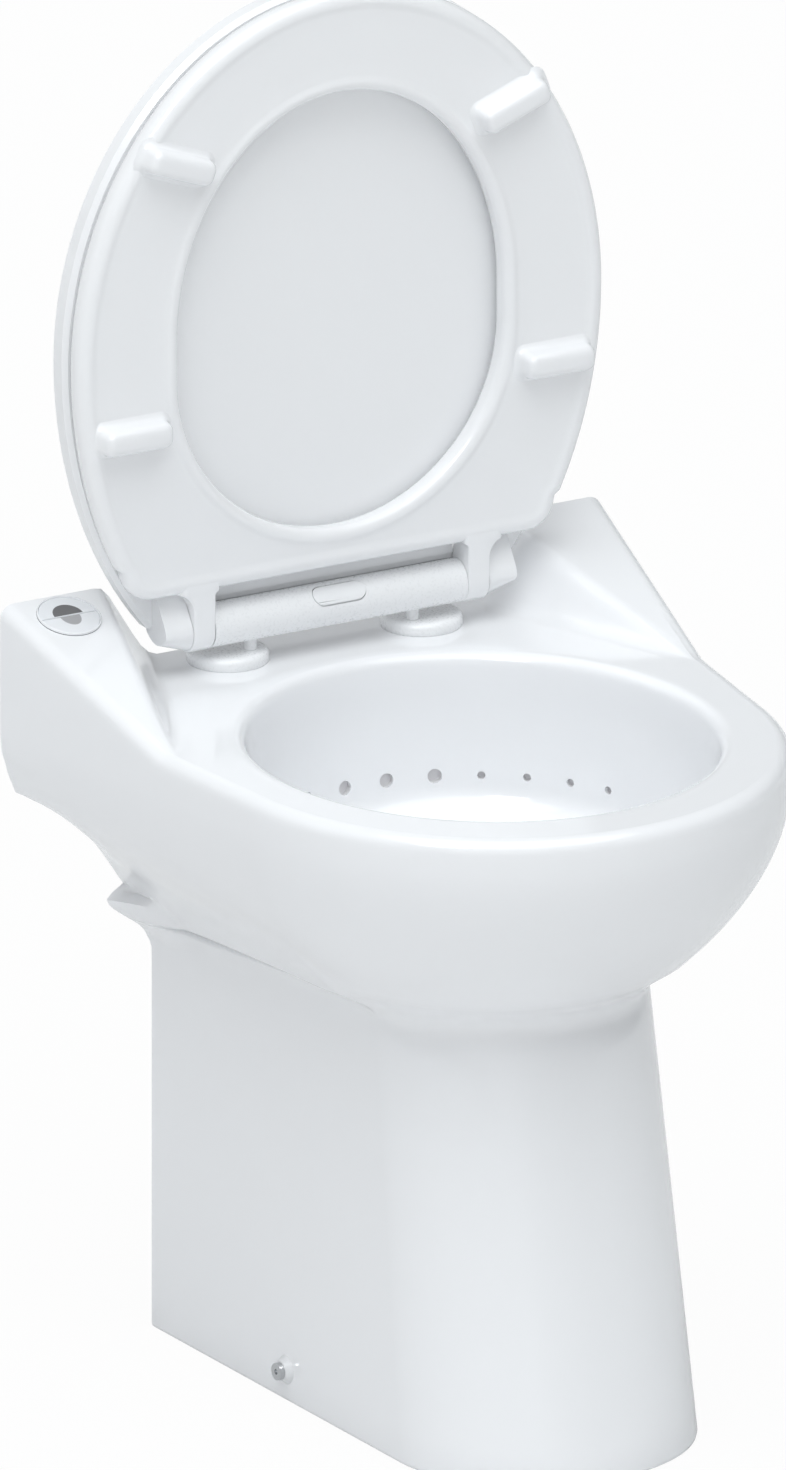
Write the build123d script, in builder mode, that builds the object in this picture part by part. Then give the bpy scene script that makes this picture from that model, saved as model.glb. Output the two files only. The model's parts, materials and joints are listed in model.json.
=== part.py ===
"""Macerating toilet: one ceramic shell with bowl, shoulders and pedestal, and the pump unit inside it.

Frame: millimetres, +Z up, origin on the floor under the middle of the pan, wall at +Y, front at -Y.
"""

from build123d import *
from math import acos, asin, atan, atan2, cos, degrees, hypot, pi, radians, sin, sqrt
import os

os.makedirs("parts", exist_ok=True)

# Ceramic pan: outer form
pan_depth = 431.0
pan_rear_width = 422.0
rim_height = 434.0
rim_width = 364.6
rim_nose_length = 190.0
side_height = 20.0
neck_height = 280.0
neck_rear_width = 240.0
neck_width = 199.6
neck_nose_length = 94.9
rim_rounding = 9.0
ceramic_wall = 12.0
overrun = 30.0

# Ceramic pan: shoulders at the wall
shoulder_rise = 50.0
shoulder_length = 166.0
shoulder_top_width = 72.0
shoulder_slope_width = 31.0
shoulder_foot_fall = 4.0
shoulder_foot_run = 30.0
shoulder_skirt = 22.0
crest_rounding = 8.0
foot_rounding = 14.0
tip_crest_width = 1.5
tip_foot_width = 3.0
tip_rounding = 0.5
tip_fall = 0.4

# Ceramic pan: pedestal and the lip behind the neck
pedestal_rear_width = 218.0
pedestal_rear_gap = 8.0
base_width = 198.0
toe_setback = 37.0
base_nose_length = 94.0
pedestal_top_height = 300.0
pedestal_top_width = 184.0
pedestal_top_setback = 97.0
pedestal_top_nose_length = 84.0
lip_width = 272.0
lip_top = 280.0
lip_edge = 9.0
lip_underside = 30.0
lip_length = 45.0

# Ceramic pan: bowl
side_land = 39.0
front_land = 46.4
deck_length = 75.4
bowl_wall = 10.0
lip_rounding = 8.0
sump_neck = 37.0
sump_shift = 10.0
outlet_bore = 72.0
outlet_height = 125.0
outlet_bend = 52.0
outlet_from_wall = 158.0
jet_drop = 77.0
jet_large_bore = 9.0
jet_small_bore = 5.0
duct_wall = 6.0
duct_width = 10.0
duct_height = 14.0
duct_reach_from_wall = 205.0
shoulder_wall = 10.0
shoulder_hollow_length = 96.0

# Hinge of seat and lid
hinge_from_wall = 38.9
hinge_above_rim = 28.0
bar_diameter = 27.4
bar_length = 176.8
bar_wall = 3.0
ear_width = 15.1
ear_diameter = 28.0
knuckle_width = 19.0
knuckle_diameter = 26.0
ear_root = 5.0
pin_diameter = 10.0
pin_depth_in_bar = 12.0
pin_depth_in_lid = 14.0
damper_length = 20.0
side_play = 0.3
fit_clearance = 0.05
hinge_disc_diameter = 51.0
hinge_disc_height = 7.9
hinge_disc_half_spacing = 67.9
hinge_disc_from_wall = 30.0
disc_bevel = 2.0
stud_diameter = 8.0
stud_half_spacing = 57.0
stud_engagement = 15.0
stud_groove_depth = 1.0
stud_groove_width = 2.5
bolt_diameter = 8.0
bolt_half_spacing = 77.5
bolt_length = 66.0
bolt_engagement = 6.0
deck_hole_diameter = 16.0
cone_washer_diameter = 27.0
cone_washer_tip = 18.0
cone_washer_height = 14.0
wing_nut_diameter = 15.0
wing_nut_height = 12.0
wing_span = 38.0
wing_thickness = 3.0
release_length = 37.0
release_width = 14.0
release_proud = 1.2
release_travel = 2.0
release_tilt = 45.0
release_gap = 0.25
release_flange_length = 44.0
release_flange_width = 12.0
release_flange_thickness = 1.6

# Seat and lid, both standing upright
seat_width = 369.0
seat_nose_reach = 400.0
seat_widest_reach = 183.0
seat_heel_reach = 27.0
seat_flank_length = 246.0
seat_heel_rounding = 20.0
seat_thickness = 16.5
seat_above_rim = 13.4
seat_top_rounding = 6.0
seat_underside_rounding = 3.0
seat_bevel_width = 5.0
seat_bevel_depth = 2.5
opening_seat_width = 232.0
opening_nose_reach = 339.0
opening_upper_reach = 193.0
opening_lower_reach = 168.0
opening_heel_reach = 51.6
lid_width = 370.0
lid_gap = 3.5
lid_edge_thickness = 13.0
lid_crown = 3.5
lid_rounding = 5.0
lid_leg_reach = 1.0
lid_middle_reach = 16.0
lid_notch_gap = 0.6
bumper_length = 48.0
bumper_width = 17.0
bumper_clearance = 0.3
bumper_draft = 2.0
front_bumper_half = 117.5
front_bumper_reach = 309.5
front_bumper_turn = 20.7
rear_bumper_half = 148.0
rear_bumper_reach = 138.0
pad_diameter = 14.0
front_pad_half = 118.0
front_pad_reach = 316.0
rear_pad_half = 150.0
rear_pad_reach = 110.0

# Dual flush button in the left-hand shoulder
button_from_side = 36.0
button_from_wall = 22.0
button_bore = 32.0
button_ring_diameter = 40.5
button_ring_height = 2.0
button_sleeve_wall = 2.0
button_sleeve_length = 36.0
button_sleeve_play = 0.3
button_floor_depth = 20.0
button_floor_thickness = 2.0
button_running_gap = 0.2
button_split_gap = 0.8
button_height = 9.4
button_proud = 1.4
button_travel = 2.5
button_stem_diameter = 5.0
button_stem_from_split = 7.6
button_stem_reach = 16.0
button_spring_diameter = 9.0
button_spring_wall = 1.2
button_nut_diameter = 40.0
button_nut_height = 8.0
button_nut_gap = 0.3
switch_width = 22.0
switch_depth = 22.0
switch_height = 10.0

# Side fixings
fixing_from_wall = 167.0
fixing_height = 20.0
fixing_hole = 8.0
collar_diameter = 19.0
collar_tip = 12.5
collar_thickness = 4.5
collar_seat_depth = 0.5
screw_head_diameter = 11.0
screw_head_height = 3.2
screw_diameter = 5.6
screw_length = 34.0
screw_socket = 4.0
bracket_gap = 1.6
bracket_thickness = 6.0
bracket_width = 40.0
bracket_height = 38.0
bracket_reach = 34.0
bracket_floor_hole = 7.0
bracket_rib = 5.0

# Macerator: tank and cover
tank_side_gap = 10.5
tank_length = 116.0
tank_rear_gap = 14.0
tank_wall = 3.0
tank_corner = 16.0
tank_floor_height = 8.0
tank_top_height = 178.0
tank_flange_width = 5.0
tank_flange_height = 5.0
gasket_height = 2.0
gasket_width = 6.0
cover_height = 6.0
cover_screw_diameter = 4.0
cover_screw_head = 8.0
cover_screw_head_height = 3.0
cover_screw_length = 12.0
cover_screw_inset = 3.5
foot_diameter = 20.0
foot_inset = 18.0
inlet_bore = 84.0
inlet_wall = 4.0
inlet_gap = 2.0
sleeve_wall = 3.5
sleeve_length = 40.0
clamp_width = 9.0
clamp_thickness = 1.6
clamp_inset = 9.0
clamp_screw_diameter = 6.0
clamp_screw_length = 14.0

# Macerator: what turns, and what it turns in
shaft_diameter = 10.0
shaft_bottom_height = 20.0
shaft_top_height = 298.0
basket_diameter = 104.0
basket_wall = 2.5
basket_bottom_height = 58.0
basket_slot_width = 5.0
basket_slot_height = 18.0
basket_slot_count = 18
basket_rim_width = 3.0
volute_diameter = 92.0
volute_wall = 3.0
volute_bottom_height = 14.0
volute_top_height = 50.0
volute_eye = 40.0
volute_foot_height = 3.0
impeller_diameter = 74.0
impeller_disc = 3.0
impeller_vane_height = 16.0
impeller_vane_thickness = 2.5
impeller_vane_count = 6
impeller_hub = 20.0
impeller_bottom_height = 22.0
blade_length = 88.0
blade_width = 16.0
blade_thickness = 3.0
blade_tip_height = 12.0
blade_hub = 22.0
blade_hub_height = 10.0
blade_above_floor = 4.0
motor_diameter = 84.0
motor_wall = 3.0
motor_height = 104.0
motor_floor = 4.0
motor_cap_height = 13.0
motor_cap_rounding = 6.0
motor_rib_count = 12
motor_rib_depth = 1.5
motor_rib_width = 4.0
stator_bore = 51.0
stator_length = 62.0
stator_rise = 20.0
rotor_diameter = 50.0
rotor_length = 58.0
bearing_diameter = 26.0
bearing_height = 8.0
bearing_housing_wall = 3.0
seal_diameter = 22.0

# Macerator: discharge
riser_half = 56.0
riser_from_wall = 36.0
riser_diameter = 22.0
riser_wall = 2.0
riser_bend = 16.0
riser_height = 34.0
riser_play = 0.3
valve_diameter = 36.0
valve_wall = 3.0
valve_height = 34.0
valve_seat_height = 8.0
valve_seat_bore = 16.0
flap_diameter = 22.0
flap_thickness = 2.5
flap_pin_diameter = 3.0
flap_pin_length = 24.0
flap_arm_width = 6.0
flap_opening = 60.0
discharge_diameter = 32.0
discharge_wall = 3.0
discharge_bend = 18.0
discharge_height = 246.0
discharge_from_wall = 4.0

# Macerator: level sensing, vent, electrics
switch_half = 56.0
switch_from_wall = 36.0
bell_diameter = 24.0
bell_wall = 2.0
bell_bottom_height = 40.0
pressure_switch_diameter = 34.0
pressure_switch_height = 16.0
pressure_switch_rounding = 3.0
vent_half = 60.0
vent_from_wall = 108.0
vent_diameter = 26.0
vent_height = 20.0
vent_rounding = 3.0
capacitor_half = 60.0
capacitor_from_wall = 108.0
capacitor_diameter = 28.0
capacitor_height = 62.0
capacitor_rounding = 2.0
box_width = 92.0
box_length = 60.0
box_height = 28.0
box_from_wall = 22.0
box_rounding = 4.0
gland_diameter = 16.0
gland_length = 14.0
gland_inset = 20.0
gland_bore = 7.0
gland_nut_diameter = 20.0
gland_nut_length = 6.0

# Rinse water
solenoid_half = 60.0
solenoid_from_wall = 36.0
solenoid_height = 234.0
solenoid_body = 28.0
water_inlet_diameter = 21.0
water_inlet_bore = 13.0
water_inlet_from_wall = 4.0
hose_bore = 12.0
hose_wall = 2.5
hose_bend = 20.0
hose_overlap = 8.0
barb_length = 10.0
barb_bore = 7.0
coil_diameter = 24.0
coil_height = 26.0
coil_core_diameter = 9.0
coil_core_height = 4.0
bracket_plate = 2.5
bracket_plate_width = 28.0
bracket_foot = 16.0
rinse_inlet_length = 22.0
hose_top_gap = 7.0

rear = pan_depth / 2
shoulder_height = rim_height + shoulder_rise
shoulder_crest_half = pan_rear_width / 2 - shoulder_top_width
shoulder_foot_half = shoulder_crest_half - shoulder_slope_width
base_waist_from_wall = pan_depth - toe_setback - base_nose_length
pedestal_top_waist_from_wall = pan_depth - pedestal_top_setback - pedestal_top_nose_length
opening_width = rim_width - 2 * side_land
opening_length = pan_depth - deck_length - front_land
opening_from_wall = deck_length + opening_length / 2
sump_from_wall = opening_from_wall + sump_shift
sump_depth = rim_height - outlet_height - outlet_bend - sump_neck
button_half = pan_rear_width / 2 - button_from_side
waist_y = rear - (pan_depth - rim_nose_length)
flare_top = rim_height - side_height
opening_y = rear - opening_from_wall
sump_y = rear - sump_from_wall
sides = (-1, 1)


def flank_touch(rear_half, rear_y, half_width, nose_y, nose_length):
    """The angle on an elliptic nose at which a straight flank from the back touches it."""
    reach_across = rear_half / half_width
    reach_back = (rear_y - nose_y) / nose_length
    distance = hypot(reach_across, reach_back)
    return acos(1 / distance) - atan2(reach_back, reach_across)


def flank_half(place_y, rear_half, rear_y, half_width, nose_y, nose_length):
    """Half the width between two such flanks at a distance from the wall, and their slope."""
    touch = flank_touch(rear_half, rear_y, half_width, nose_y, nose_length)
    slope = (rear_half - half_width * cos(touch)) / (rear_y - nose_y + nose_length * sin(touch))
    return rear_half - slope * (rear_y - place_y), slope


def flank_outline(height, rear_half, rear_y, half_width, nose_y, nose_length):
    """A closed outline: a straight back, and two straight flanks that touch an elliptic nose."""
    touch = degrees(flank_touch(rear_half, rear_y, half_width, nose_y, nose_length))
    with BuildSketch(Plane.XY.offset(height)) as outline:
        with BuildLine():
            nose = EllipticalCenterArc(
                (0, nose_y), half_width, nose_length, start_angle=-touch, arc_size=2 * touch - 180
            )
            Line(nose @ 1, (-rear_half, rear_y))
            Line((-rear_half, rear_y), (rear_half, rear_y))
            Line((rear_half, rear_y), nose @ 0)
        make_face()
    return outline.sketch


# Flare of the pan below its side band: share of the height down to the neck, share of the way in at the back
flare_shares = (
    (0.0, 0.0),
    (0.09, 0.0),
    (0.18, 0.013),
    (0.27, 0.042),
    (0.36, 0.095),
    (0.45, 0.25),
    (0.54, 0.46),
    (0.66, 0.68),
    (0.81, 0.84),
    (0.98, 0.995),
    (1.13, 1.15),
)
cavity_levels = (0, 4, 6, 8, 10)
bend_steps = 4
flare_power = 1.93


def flare_section(row, inset, extra_back):
    """One level of the flare, made smaller by inset and carried extra_back behind the wall plane."""
    down_share, rear_share = row
    waist_share = down_share**flare_power
    return flank_outline(
        flare_top - down_share * (flare_top - neck_height),
        pan_rear_width / 2 - rear_share * (pan_rear_width - neck_rear_width) / 2 - inset,
        rear + extra_back,
        rim_width / 2 - waist_share * (rim_width - neck_width) / 2 - inset,
        waist_y,
        rim_nose_length - waist_share * (rim_nose_length - neck_nose_length) - inset,
    )


def pedestal_level(height, inset):
    """Half width at the back, depth of the back, half width, place and length of the nose at one level."""
    share = height / pedestal_top_height
    waist_from_wall = base_waist_from_wall + share * (pedestal_top_waist_from_wall - base_waist_from_wall)
    return (
        pedestal_rear_width / 2 - inset,
        rear - pedestal_rear_gap,
        (base_width + share * (pedestal_top_width - base_width)) / 2 - inset,
        rear - waist_from_wall,
        base_nose_length + share * (pedestal_top_nose_length - base_nose_length) - inset,
    )


def pedestal_section(height, inset, extra_back):
    """One level of the pedestal, made smaller by inset."""
    rear_half, rear_y, half_width, nose_y, nose_length = pedestal_level(height, inset)
    return flank_outline(height, rear_half, rear_y + extra_back, half_width, nose_y, nose_length)


def shoulder_profile(from_wall, outer_half, top, crest_half, foot_half, run, crest_radius, foot_radius):
    """A cut across the right-hand shoulder, parallel to the wall."""
    with BuildSketch(Plane.XZ.offset(from_wall - rear)) as profile:
        with BuildLine():
            FilletPolyline(
                (outer_half, rim_height - shoulder_skirt),
                (outer_half, top),
                (crest_half, top),
                (foot_half, rim_height + tip_fall),
                (foot_half - run, rim_height - shoulder_foot_fall),
                (foot_half - run, rim_height - shoulder_skirt),
                radius=[0, rim_rounding, crest_radius, foot_radius, 0, 0],
                close=True,
            )
        make_face()
    return profile.sketch


# Bowl: share of the drop to the sump, width and length as shares of the opening's, and share of the way
# from the middle of the opening to the middle of the sump
bowl_shares = (
    (0.0, 1.0, 1.0, 0.0),
    (0.35, 0.968, 0.962, 0.0),
    (0.41, 0.945, 0.94, 0.0),
    (0.45, 0.87, 0.88, 0.1),
    (0.5, 0.71, 0.74, 0.3),
    (0.62, 0.585, 0.595, 0.6),
    (0.88, 0.35, 0.33, 1.0),
)
bowl_back_levels = (0, 2, 4, 5, 6)
jet_row_share = (0.968, 0.962)
large_jet_shares = (0.105, 0.321)
small_jet_shares = (0.506, 0.667, 0.8, 0.897)

# Rounded lip of the bowl: share of the rounding downwards, share of it outwards
lip_shares = ((-1.0, 1.0), (0.0, 1.0), (0.293, 0.293), (1.0, 0.0))


def bowl_section(row, extra):
    """One level of the bowl, made larger by extra."""
    down_share, width_share, length_share, shift_share = row
    with BuildSketch(Plane.XY.offset(rim_height - down_share * sump_depth)) as level:
        with Locations((0, opening_y + shift_share * (sump_y - opening_y))):
            Ellipse(width_share * opening_width / 2 + extra, length_share * opening_length / 2 + extra)
    return level.sketch


def bend_sections(start, corner, end, bend, radius, side):
    """Round sections along a right-angled bend, square to its line; side is square to the bend's plane."""
    incoming = (corner - start).normalized()
    outgoing = (end - corner).normalized()
    places = [(start, incoming)]
    for step in range(bend_steps + 1):
        turn = step * pi / 2 / bend_steps
        spot = corner + outgoing * bend * (1 - cos(turn)) - incoming * bend * (1 - sin(turn))
        places.append((spot, incoming * cos(turn) + outgoing * sin(turn)))
    places.append((end, outgoing))
    sections = []
    for spot, heading in places:
        with BuildSketch(Plane(origin=spot, x_dir=side, z_dir=heading)) as section:
            Circle(radius)
        sections.append(section.sketch)
    return sections


def bent_tube(start, corner, end, bend, outer, inner, side):
    """A tube along a right-angled bend."""
    outer_sections = bend_sections(start, corner, end, bend, outer / 2, side)
    inner_sections = bend_sections(start, corner, end, bend, inner / 2, side)
    with BuildPart() as body:
        loft(sections=outer_sections, ruled=True)
        loft(sections=inner_sections, ruled=True, mode=Mode.SUBTRACT)
    return body.part


def bowl_body(extra, levels):
    """The bowl, its sump and the outlet elbow below it, made larger by extra."""
    sump_height = rim_height - sump_depth
    throat_sections = bend_sections(
        Vector(0, sump_y, sump_height),
        Vector(0, sump_y, outlet_height),
        Vector(0, rear - outlet_from_wall, outlet_height),
        outlet_bend,
        outlet_bore / 2 + extra,
        (1, 0, 0),
    )
    with BuildPart() as body:
        loft(
            sections=[bowl_section(bowl_shares[level], extra) for level in levels] + [throat_sections[0]],
            ruled=True,
        )
        loft(sections=throat_sections, ruled=True)
    return body.part


def lip_body():
    """What the rounded lip of the bowl cuts away above the bowl."""
    sections = []
    for down_share, out_share in lip_shares:
        with BuildSketch(Plane.XY.offset(rim_height - down_share * lip_rounding)) as level:
            with Locations((0, opening_y)):
                Ellipse(
                    opening_width / 2 + out_share * lip_rounding, opening_length / 2 + out_share * lip_rounding
                )
        sections.append(level.sketch)
    with BuildPart() as body:
        loft(sections=sections, ruled=True)
    return body.part


def duct_ring(inner_extra, outer_extra, bottom, height):
    """Part of a ring round the back of the bowl, between two distances from the bowl's face."""
    half_width = jet_row_share[0] * opening_width / 2
    half_length = jet_row_share[1] * opening_length / 2
    with BuildPart() as ring:
        with BuildSketch(Plane.XY.offset(bottom)):
            with Locations((0, opening_y)):
                Ellipse(half_width + outer_extra, half_length + outer_extra)
                Ellipse(half_width + inner_extra, half_length + inner_extra, mode=Mode.SUBTRACT)
            with Locations((0, rear - duct_reach_from_wall - pan_depth / 2)):
                Rectangle(pan_rear_width, pan_depth, mode=Mode.SUBTRACT)
        extrude(amount=height)
    return ring.part


def tube(place_x, place_y, bottom, top, outer, inner):
    """An upright tube, or a rod where inner is zero, from bottom to top."""
    with BuildPart() as body:
        with BuildSketch(Plane.XY.offset(bottom)):
            with Locations((place_x, place_y)):
                Circle(outer / 2)
                if inner > 0:
                    Circle(inner / 2, mode=Mode.SUBTRACT)
        extrude(amount=top - bottom)
    return body.part


def cross_tube(place_y, place_z, start, end, outer, inner):
    """A tube or rod parallel to the hinge, from start to end."""
    with BuildPart() as body:
        with BuildSketch(Plane.YZ.offset(start)):
            with Locations((place_y, place_z)):
                Circle(outer / 2)
                if inner > 0:
                    Circle(inner / 2, mode=Mode.SUBTRACT)
        extrude(amount=end - start)
    return body.part


def depth_tube(place_x, place_z, start, end, outer, inner):
    """A tube or rod square to the wall, from start towards the front, to end."""
    with BuildPart() as body:
        with BuildSketch(Plane.XZ.offset(-start)):
            with Locations((place_x, place_z)):
                Circle(outer / 2)
                if inner > 0:
                    Circle(inner / 2, mode=Mode.SUBTRACT)
        extrude(amount=start - end)
    return body.part


def plane_tube(plane, bottom, top, outer, inner):
    """A tube or rod square to a plane, between two distances from it."""
    with BuildPart() as body:
        with BuildSketch(plane.offset(bottom)):
            Circle(outer / 2)
            if inner > 0:
                Circle(inner / 2, mode=Mode.SUBTRACT)
        extrude(amount=top - bottom)
    return body.part


def slab(plane, bottom, top, width, length, corner):
    """A block square to a plane, between two distances from it, with rounded corners."""
    with BuildPart() as body:
        with BuildSketch(plane.offset(bottom)):
            if corner > 0:
                RectangleRounded(width, length, corner)
            else:
                Rectangle(width, length)
        extrude(amount=top - bottom)
    return body.part


# Shoulders
rim_outline_sizes = (pan_rear_width / 2, rear, rim_width / 2, waist_y, rim_nose_length)
shoulder_tip_half = flank_half(rear - shoulder_length, *rim_outline_sizes)[0]
tip_crest_half = shoulder_tip_half - rim_rounding - tip_crest_width
shoulder_slope = (shoulder_rise + tip_fall) / shoulder_length
shoulder_rear = shoulder_profile(
    0,
    pan_rear_width / 2,
    shoulder_height,
    shoulder_crest_half,
    shoulder_foot_half,
    shoulder_foot_run,
    crest_rounding,
    foot_rounding,
)
shoulder_tip = shoulder_profile(
    shoulder_length,
    shoulder_tip_half,
    rim_height - tip_fall,
    tip_crest_half,
    tip_crest_half - tip_foot_width,
    shoulder_foot_run / 3,
    tip_rounding,
    tip_rounding,
)
shoulder = loft(sections=[shoulder_rear, shoulder_tip], ruled=True)

# The hollow under the right-hand shoulder, open at the wall
hollow_outlines = []
for hollow_from_wall in (-overrun, shoulder_hollow_length):
    hollow_share = hollow_from_wall / shoulder_length
    hollow_outer = flank_half(rear - hollow_from_wall, *rim_outline_sizes)[0] - ceramic_wall
    hollow_crest = shoulder_crest_half + hollow_share * (tip_crest_half - shoulder_crest_half) + shoulder_wall
    hollow_foot = shoulder_foot_half + hollow_share * (tip_crest_half - shoulder_foot_half) + shoulder_wall
    hollow_top = shoulder_height - hollow_from_wall * shoulder_slope - shoulder_wall
    with BuildSketch(Plane.XZ.offset(hollow_from_wall - rear)) as hollow_outline:
        with BuildLine():
            Polyline(
                (hollow_outer, rim_height - shoulder_skirt),
                (hollow_outer, hollow_top),
                (hollow_crest, hollow_top),
                (hollow_foot, rim_height - shoulder_foot_fall),
                (hollow_foot, rim_height - shoulder_skirt),
                close=True,
            )
        make_face()
    hollow_outlines.append(hollow_outline.sketch)
shoulder_hollow = loft(sections=hollow_outlines, ruled=True)

# Room behind the ceramic, inside the flare and the pedestal
with BuildPart() as cavity:
    loft(
        sections=[flare_section(flare_shares[level], ceramic_wall, overrun) for level in cavity_levels],
        ruled=True,
    )
    extrude(flare_section(flare_shares[0], ceramic_wall, overrun), amount=side_height - ceramic_wall)
    loft(
        sections=[
            pedestal_section(0, ceramic_wall, overrun),
            pedestal_section(pedestal_top_height, ceramic_wall, overrun),
        ],
        ruled=True,
    )
    add(bowl_body(bowl_wall, bowl_back_levels), mode=Mode.SUBTRACT)
    add(
        duct_ring(
            0,
            2 * duct_wall + duct_width,
            rim_height - jet_drop - duct_height / 2 - duct_wall,
            duct_height + 2 * duct_wall,
        ),
        mode=Mode.SUBTRACT,
    )

# The lip that the flare's lower edge makes at the wall, on the right-hand side
with BuildPart() as neck_lip:
    with BuildSketch(Plane.XZ.offset(-rear)):
        with BuildLine():
            Polyline(
                (pedestal_rear_width / 2 - ceramic_wall / 2, lip_top),
                (lip_width / 2 - lip_edge / 2, lip_top),
                (lip_width / 2, lip_top - lip_edge / 2),
                (lip_width / 2 - lip_edge / 3, lip_top - lip_edge),
                (pedestal_rear_width / 2 - ceramic_wall / 2, lip_top - lip_underside),
                close=True,
            )
        make_face()
    extrude(amount=lip_length)
    with BuildSketch(Plane.XY):
        with BuildLine():
            Polyline(
                (lip_width / 2 + overrun, rear),
                (lip_width / 2, rear),
                (pedestal_rear_width / 2, rear - lip_length),
                (lip_width / 2 + overrun, rear - lip_length),
                close=True,
            )
        make_face()
    extrude(amount=rim_height, mode=Mode.SUBTRACT)

# Places of the fixings: the plane of the flush button, and the planes on both flanks
button_tilt = atan(shoulder_slope)
button_plane = Plane(
    origin=(-button_half, rear - button_from_wall, shoulder_height - button_from_wall * shoulder_slope),
    x_dir=(1, 0, 0),
    z_dir=(0, -sin(button_tilt), cos(button_tilt)),
)
fixing_y = rear - fixing_from_wall
fixing_half, fixing_slope = flank_half(fixing_y, *pedestal_level(fixing_height, 0))
fixing_planes = [
    Plane(
        origin=(side * fixing_half, fixing_y, fixing_height),
        x_dir=(0, 0, 1),
        z_dir=(side, -fixing_slope, 0),
    )
    for side in sides
]

with BuildPart() as pan:
    loft(sections=[flare_section(row, 0, 0) for row in flare_shares])
    extrude(flare_section(flare_shares[0], 0, 0), amount=side_height)
    loft(sections=[pedestal_section(0, 0, 0), pedestal_section(pedestal_top_height, 0, 0)], ruled=True)
    rim_edges = pan.edges().group_by(Axis.Z)[-1]
    fillet(rim_edges.filter_by(lambda edge: edge.center().Y < rear - rim_rounding), rim_rounding)
    add(shoulder)
    mirror(shoulder, about=Plane.YZ)
    add(neck_lip.part)
    mirror(neck_lip.part, about=Plane.YZ)
    add(cavity.part, mode=Mode.SUBTRACT)
    add(shoulder_hollow, mode=Mode.SUBTRACT)
    mirror(shoulder_hollow, about=Plane.YZ, mode=Mode.SUBTRACT)
    add(bowl_body(0, range(len(bowl_shares))), mode=Mode.SUBTRACT)
    add(lip_body(), mode=Mode.SUBTRACT)
    add(
        duct_ring(duct_wall, duct_wall + duct_width, rim_height - jet_drop - duct_height / 2, duct_height),
        mode=Mode.SUBTRACT,
    )
    for jet_shares, jet_bore in ((large_jet_shares, jet_large_bore), (small_jet_shares, jet_small_bore)):
        for jet_share in jet_shares:
            for side in sides:
                jet_run = 2 * duct_wall + duct_width / 2
                jet_x = side * jet_share * jet_row_share[0] * opening_width / 2
                jet_y = opening_y + sqrt(1 - jet_share**2) * jet_row_share[1] * opening_length / 2
                jet_turn = atan2(jet_y - opening_y, jet_x)
                jet_plane = Plane(
                    origin=(
                        jet_x - cos(jet_turn) * duct_wall,
                        jet_y - sin(jet_turn) * duct_wall,
                        rim_height - jet_drop,
                    ),
                    x_dir=(-sin(jet_turn), cos(jet_turn), 0),
                    z_dir=(cos(jet_turn), sin(jet_turn), 0),
                )
                add(plane_tube(jet_plane, 0, jet_run, jet_bore, 0), mode=Mode.SUBTRACT)
    rinse_row = jet_row_share[1] * opening_length / 2 + duct_wall + duct_width / 2
    rinse_width = jet_row_share[0] * opening_width / 2 + duct_wall + duct_width / 2
    rinse_y = opening_y + rinse_row * sqrt(1 - (solenoid_half / rinse_width) ** 2)
    duct_bottom = rim_height - jet_drop - duct_height / 2 - duct_wall
    add(
        tube(-solenoid_half, rinse_y, duct_bottom - duct_wall, duct_bottom + 2 * duct_wall, hose_bore, 0),
        mode=Mode.SUBTRACT,
    )
    for side in sides:
        add(
            tube(
                side * bolt_half_spacing,
                rear - hinge_disc_from_wall,
                rim_height - 2 * ceramic_wall,
                rim_height + ceramic_wall,
                deck_hole_diameter,
                0,
            ),
            mode=Mode.SUBTRACT,
        )
    button_hole = button_bore + 2 * (button_sleeve_wall + button_sleeve_play)
    add(plane_tube(button_plane, -2 * shoulder_wall, shoulder_wall, button_hole, 0), mode=Mode.SUBTRACT)
    for fixing_plane in fixing_planes:
        add(plane_tube(fixing_plane, -2 * ceramic_wall, ceramic_wall, fixing_hole, 0), mode=Mode.SUBTRACT)
        add(
            plane_tube(fixing_plane, -collar_seat_depth, ceramic_wall, collar_diameter + fit_clearance, 0),
            mode=Mode.SUBTRACT,
        )

pan.part.label = "ceramic_pan"
export_step(pan.part, "parts/ceramic_pan.step")

# Seat and lid stand upright on the hinge axis
axis_y = rear - hinge_from_wall
axis_z = rim_height + hinge_above_rim
widest_z = axis_z + seat_widest_reach
seat_front_y = axis_y - (hinge_above_rim - seat_above_rim)
seat_back_y = seat_front_y + seat_thickness
lid_front_y = seat_back_y + lid_gap
lid_back_y = lid_front_y + lid_edge_thickness


def cover_outline(width, from_wall, heel_reach, heel_rounding):
    """The outline that seat and lid share: two half ellipses, cut straight at heel_reach above the hinge."""
    heel = degrees(asin((seat_widest_reach - heel_reach) / seat_flank_length))
    with BuildSketch(Plane.XZ.offset(from_wall - rear)) as outline:
        with BuildLine():
            EllipticalCenterArc(
                (0, widest_z), width / 2, seat_nose_reach - seat_widest_reach, start_angle=0, arc_size=180
            )
            right = EllipticalCenterArc((0, widest_z), width / 2, seat_flank_length, start_angle=0, arc_size=-heel)
            left = EllipticalCenterArc((0, widest_z), width / 2, seat_flank_length, start_angle=180, arc_size=heel)
            Line(right @ 1, left @ 1)
        make_face()
        fillet(outline.vertices().group_by(Axis.Y)[0], heel_rounding)
    return outline.sketch


def hinge_arm(start, width, diameter, front_y, back_y):
    """An arm round the hinge axis, as one hull with the heel of the seat or lid."""
    with BuildPart() as arm:
        with BuildSketch(Plane.YZ.offset(start)):
            with Locations((axis_y, axis_z)):
                Circle(diameter / 2)
            with Locations(((front_y + back_y) / 2, axis_z + seat_heel_reach + ear_root / 2)):
                Rectangle(back_y - front_y, ear_root)
            make_hull()
        extrude(amount=width)
    return arm.part


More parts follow.
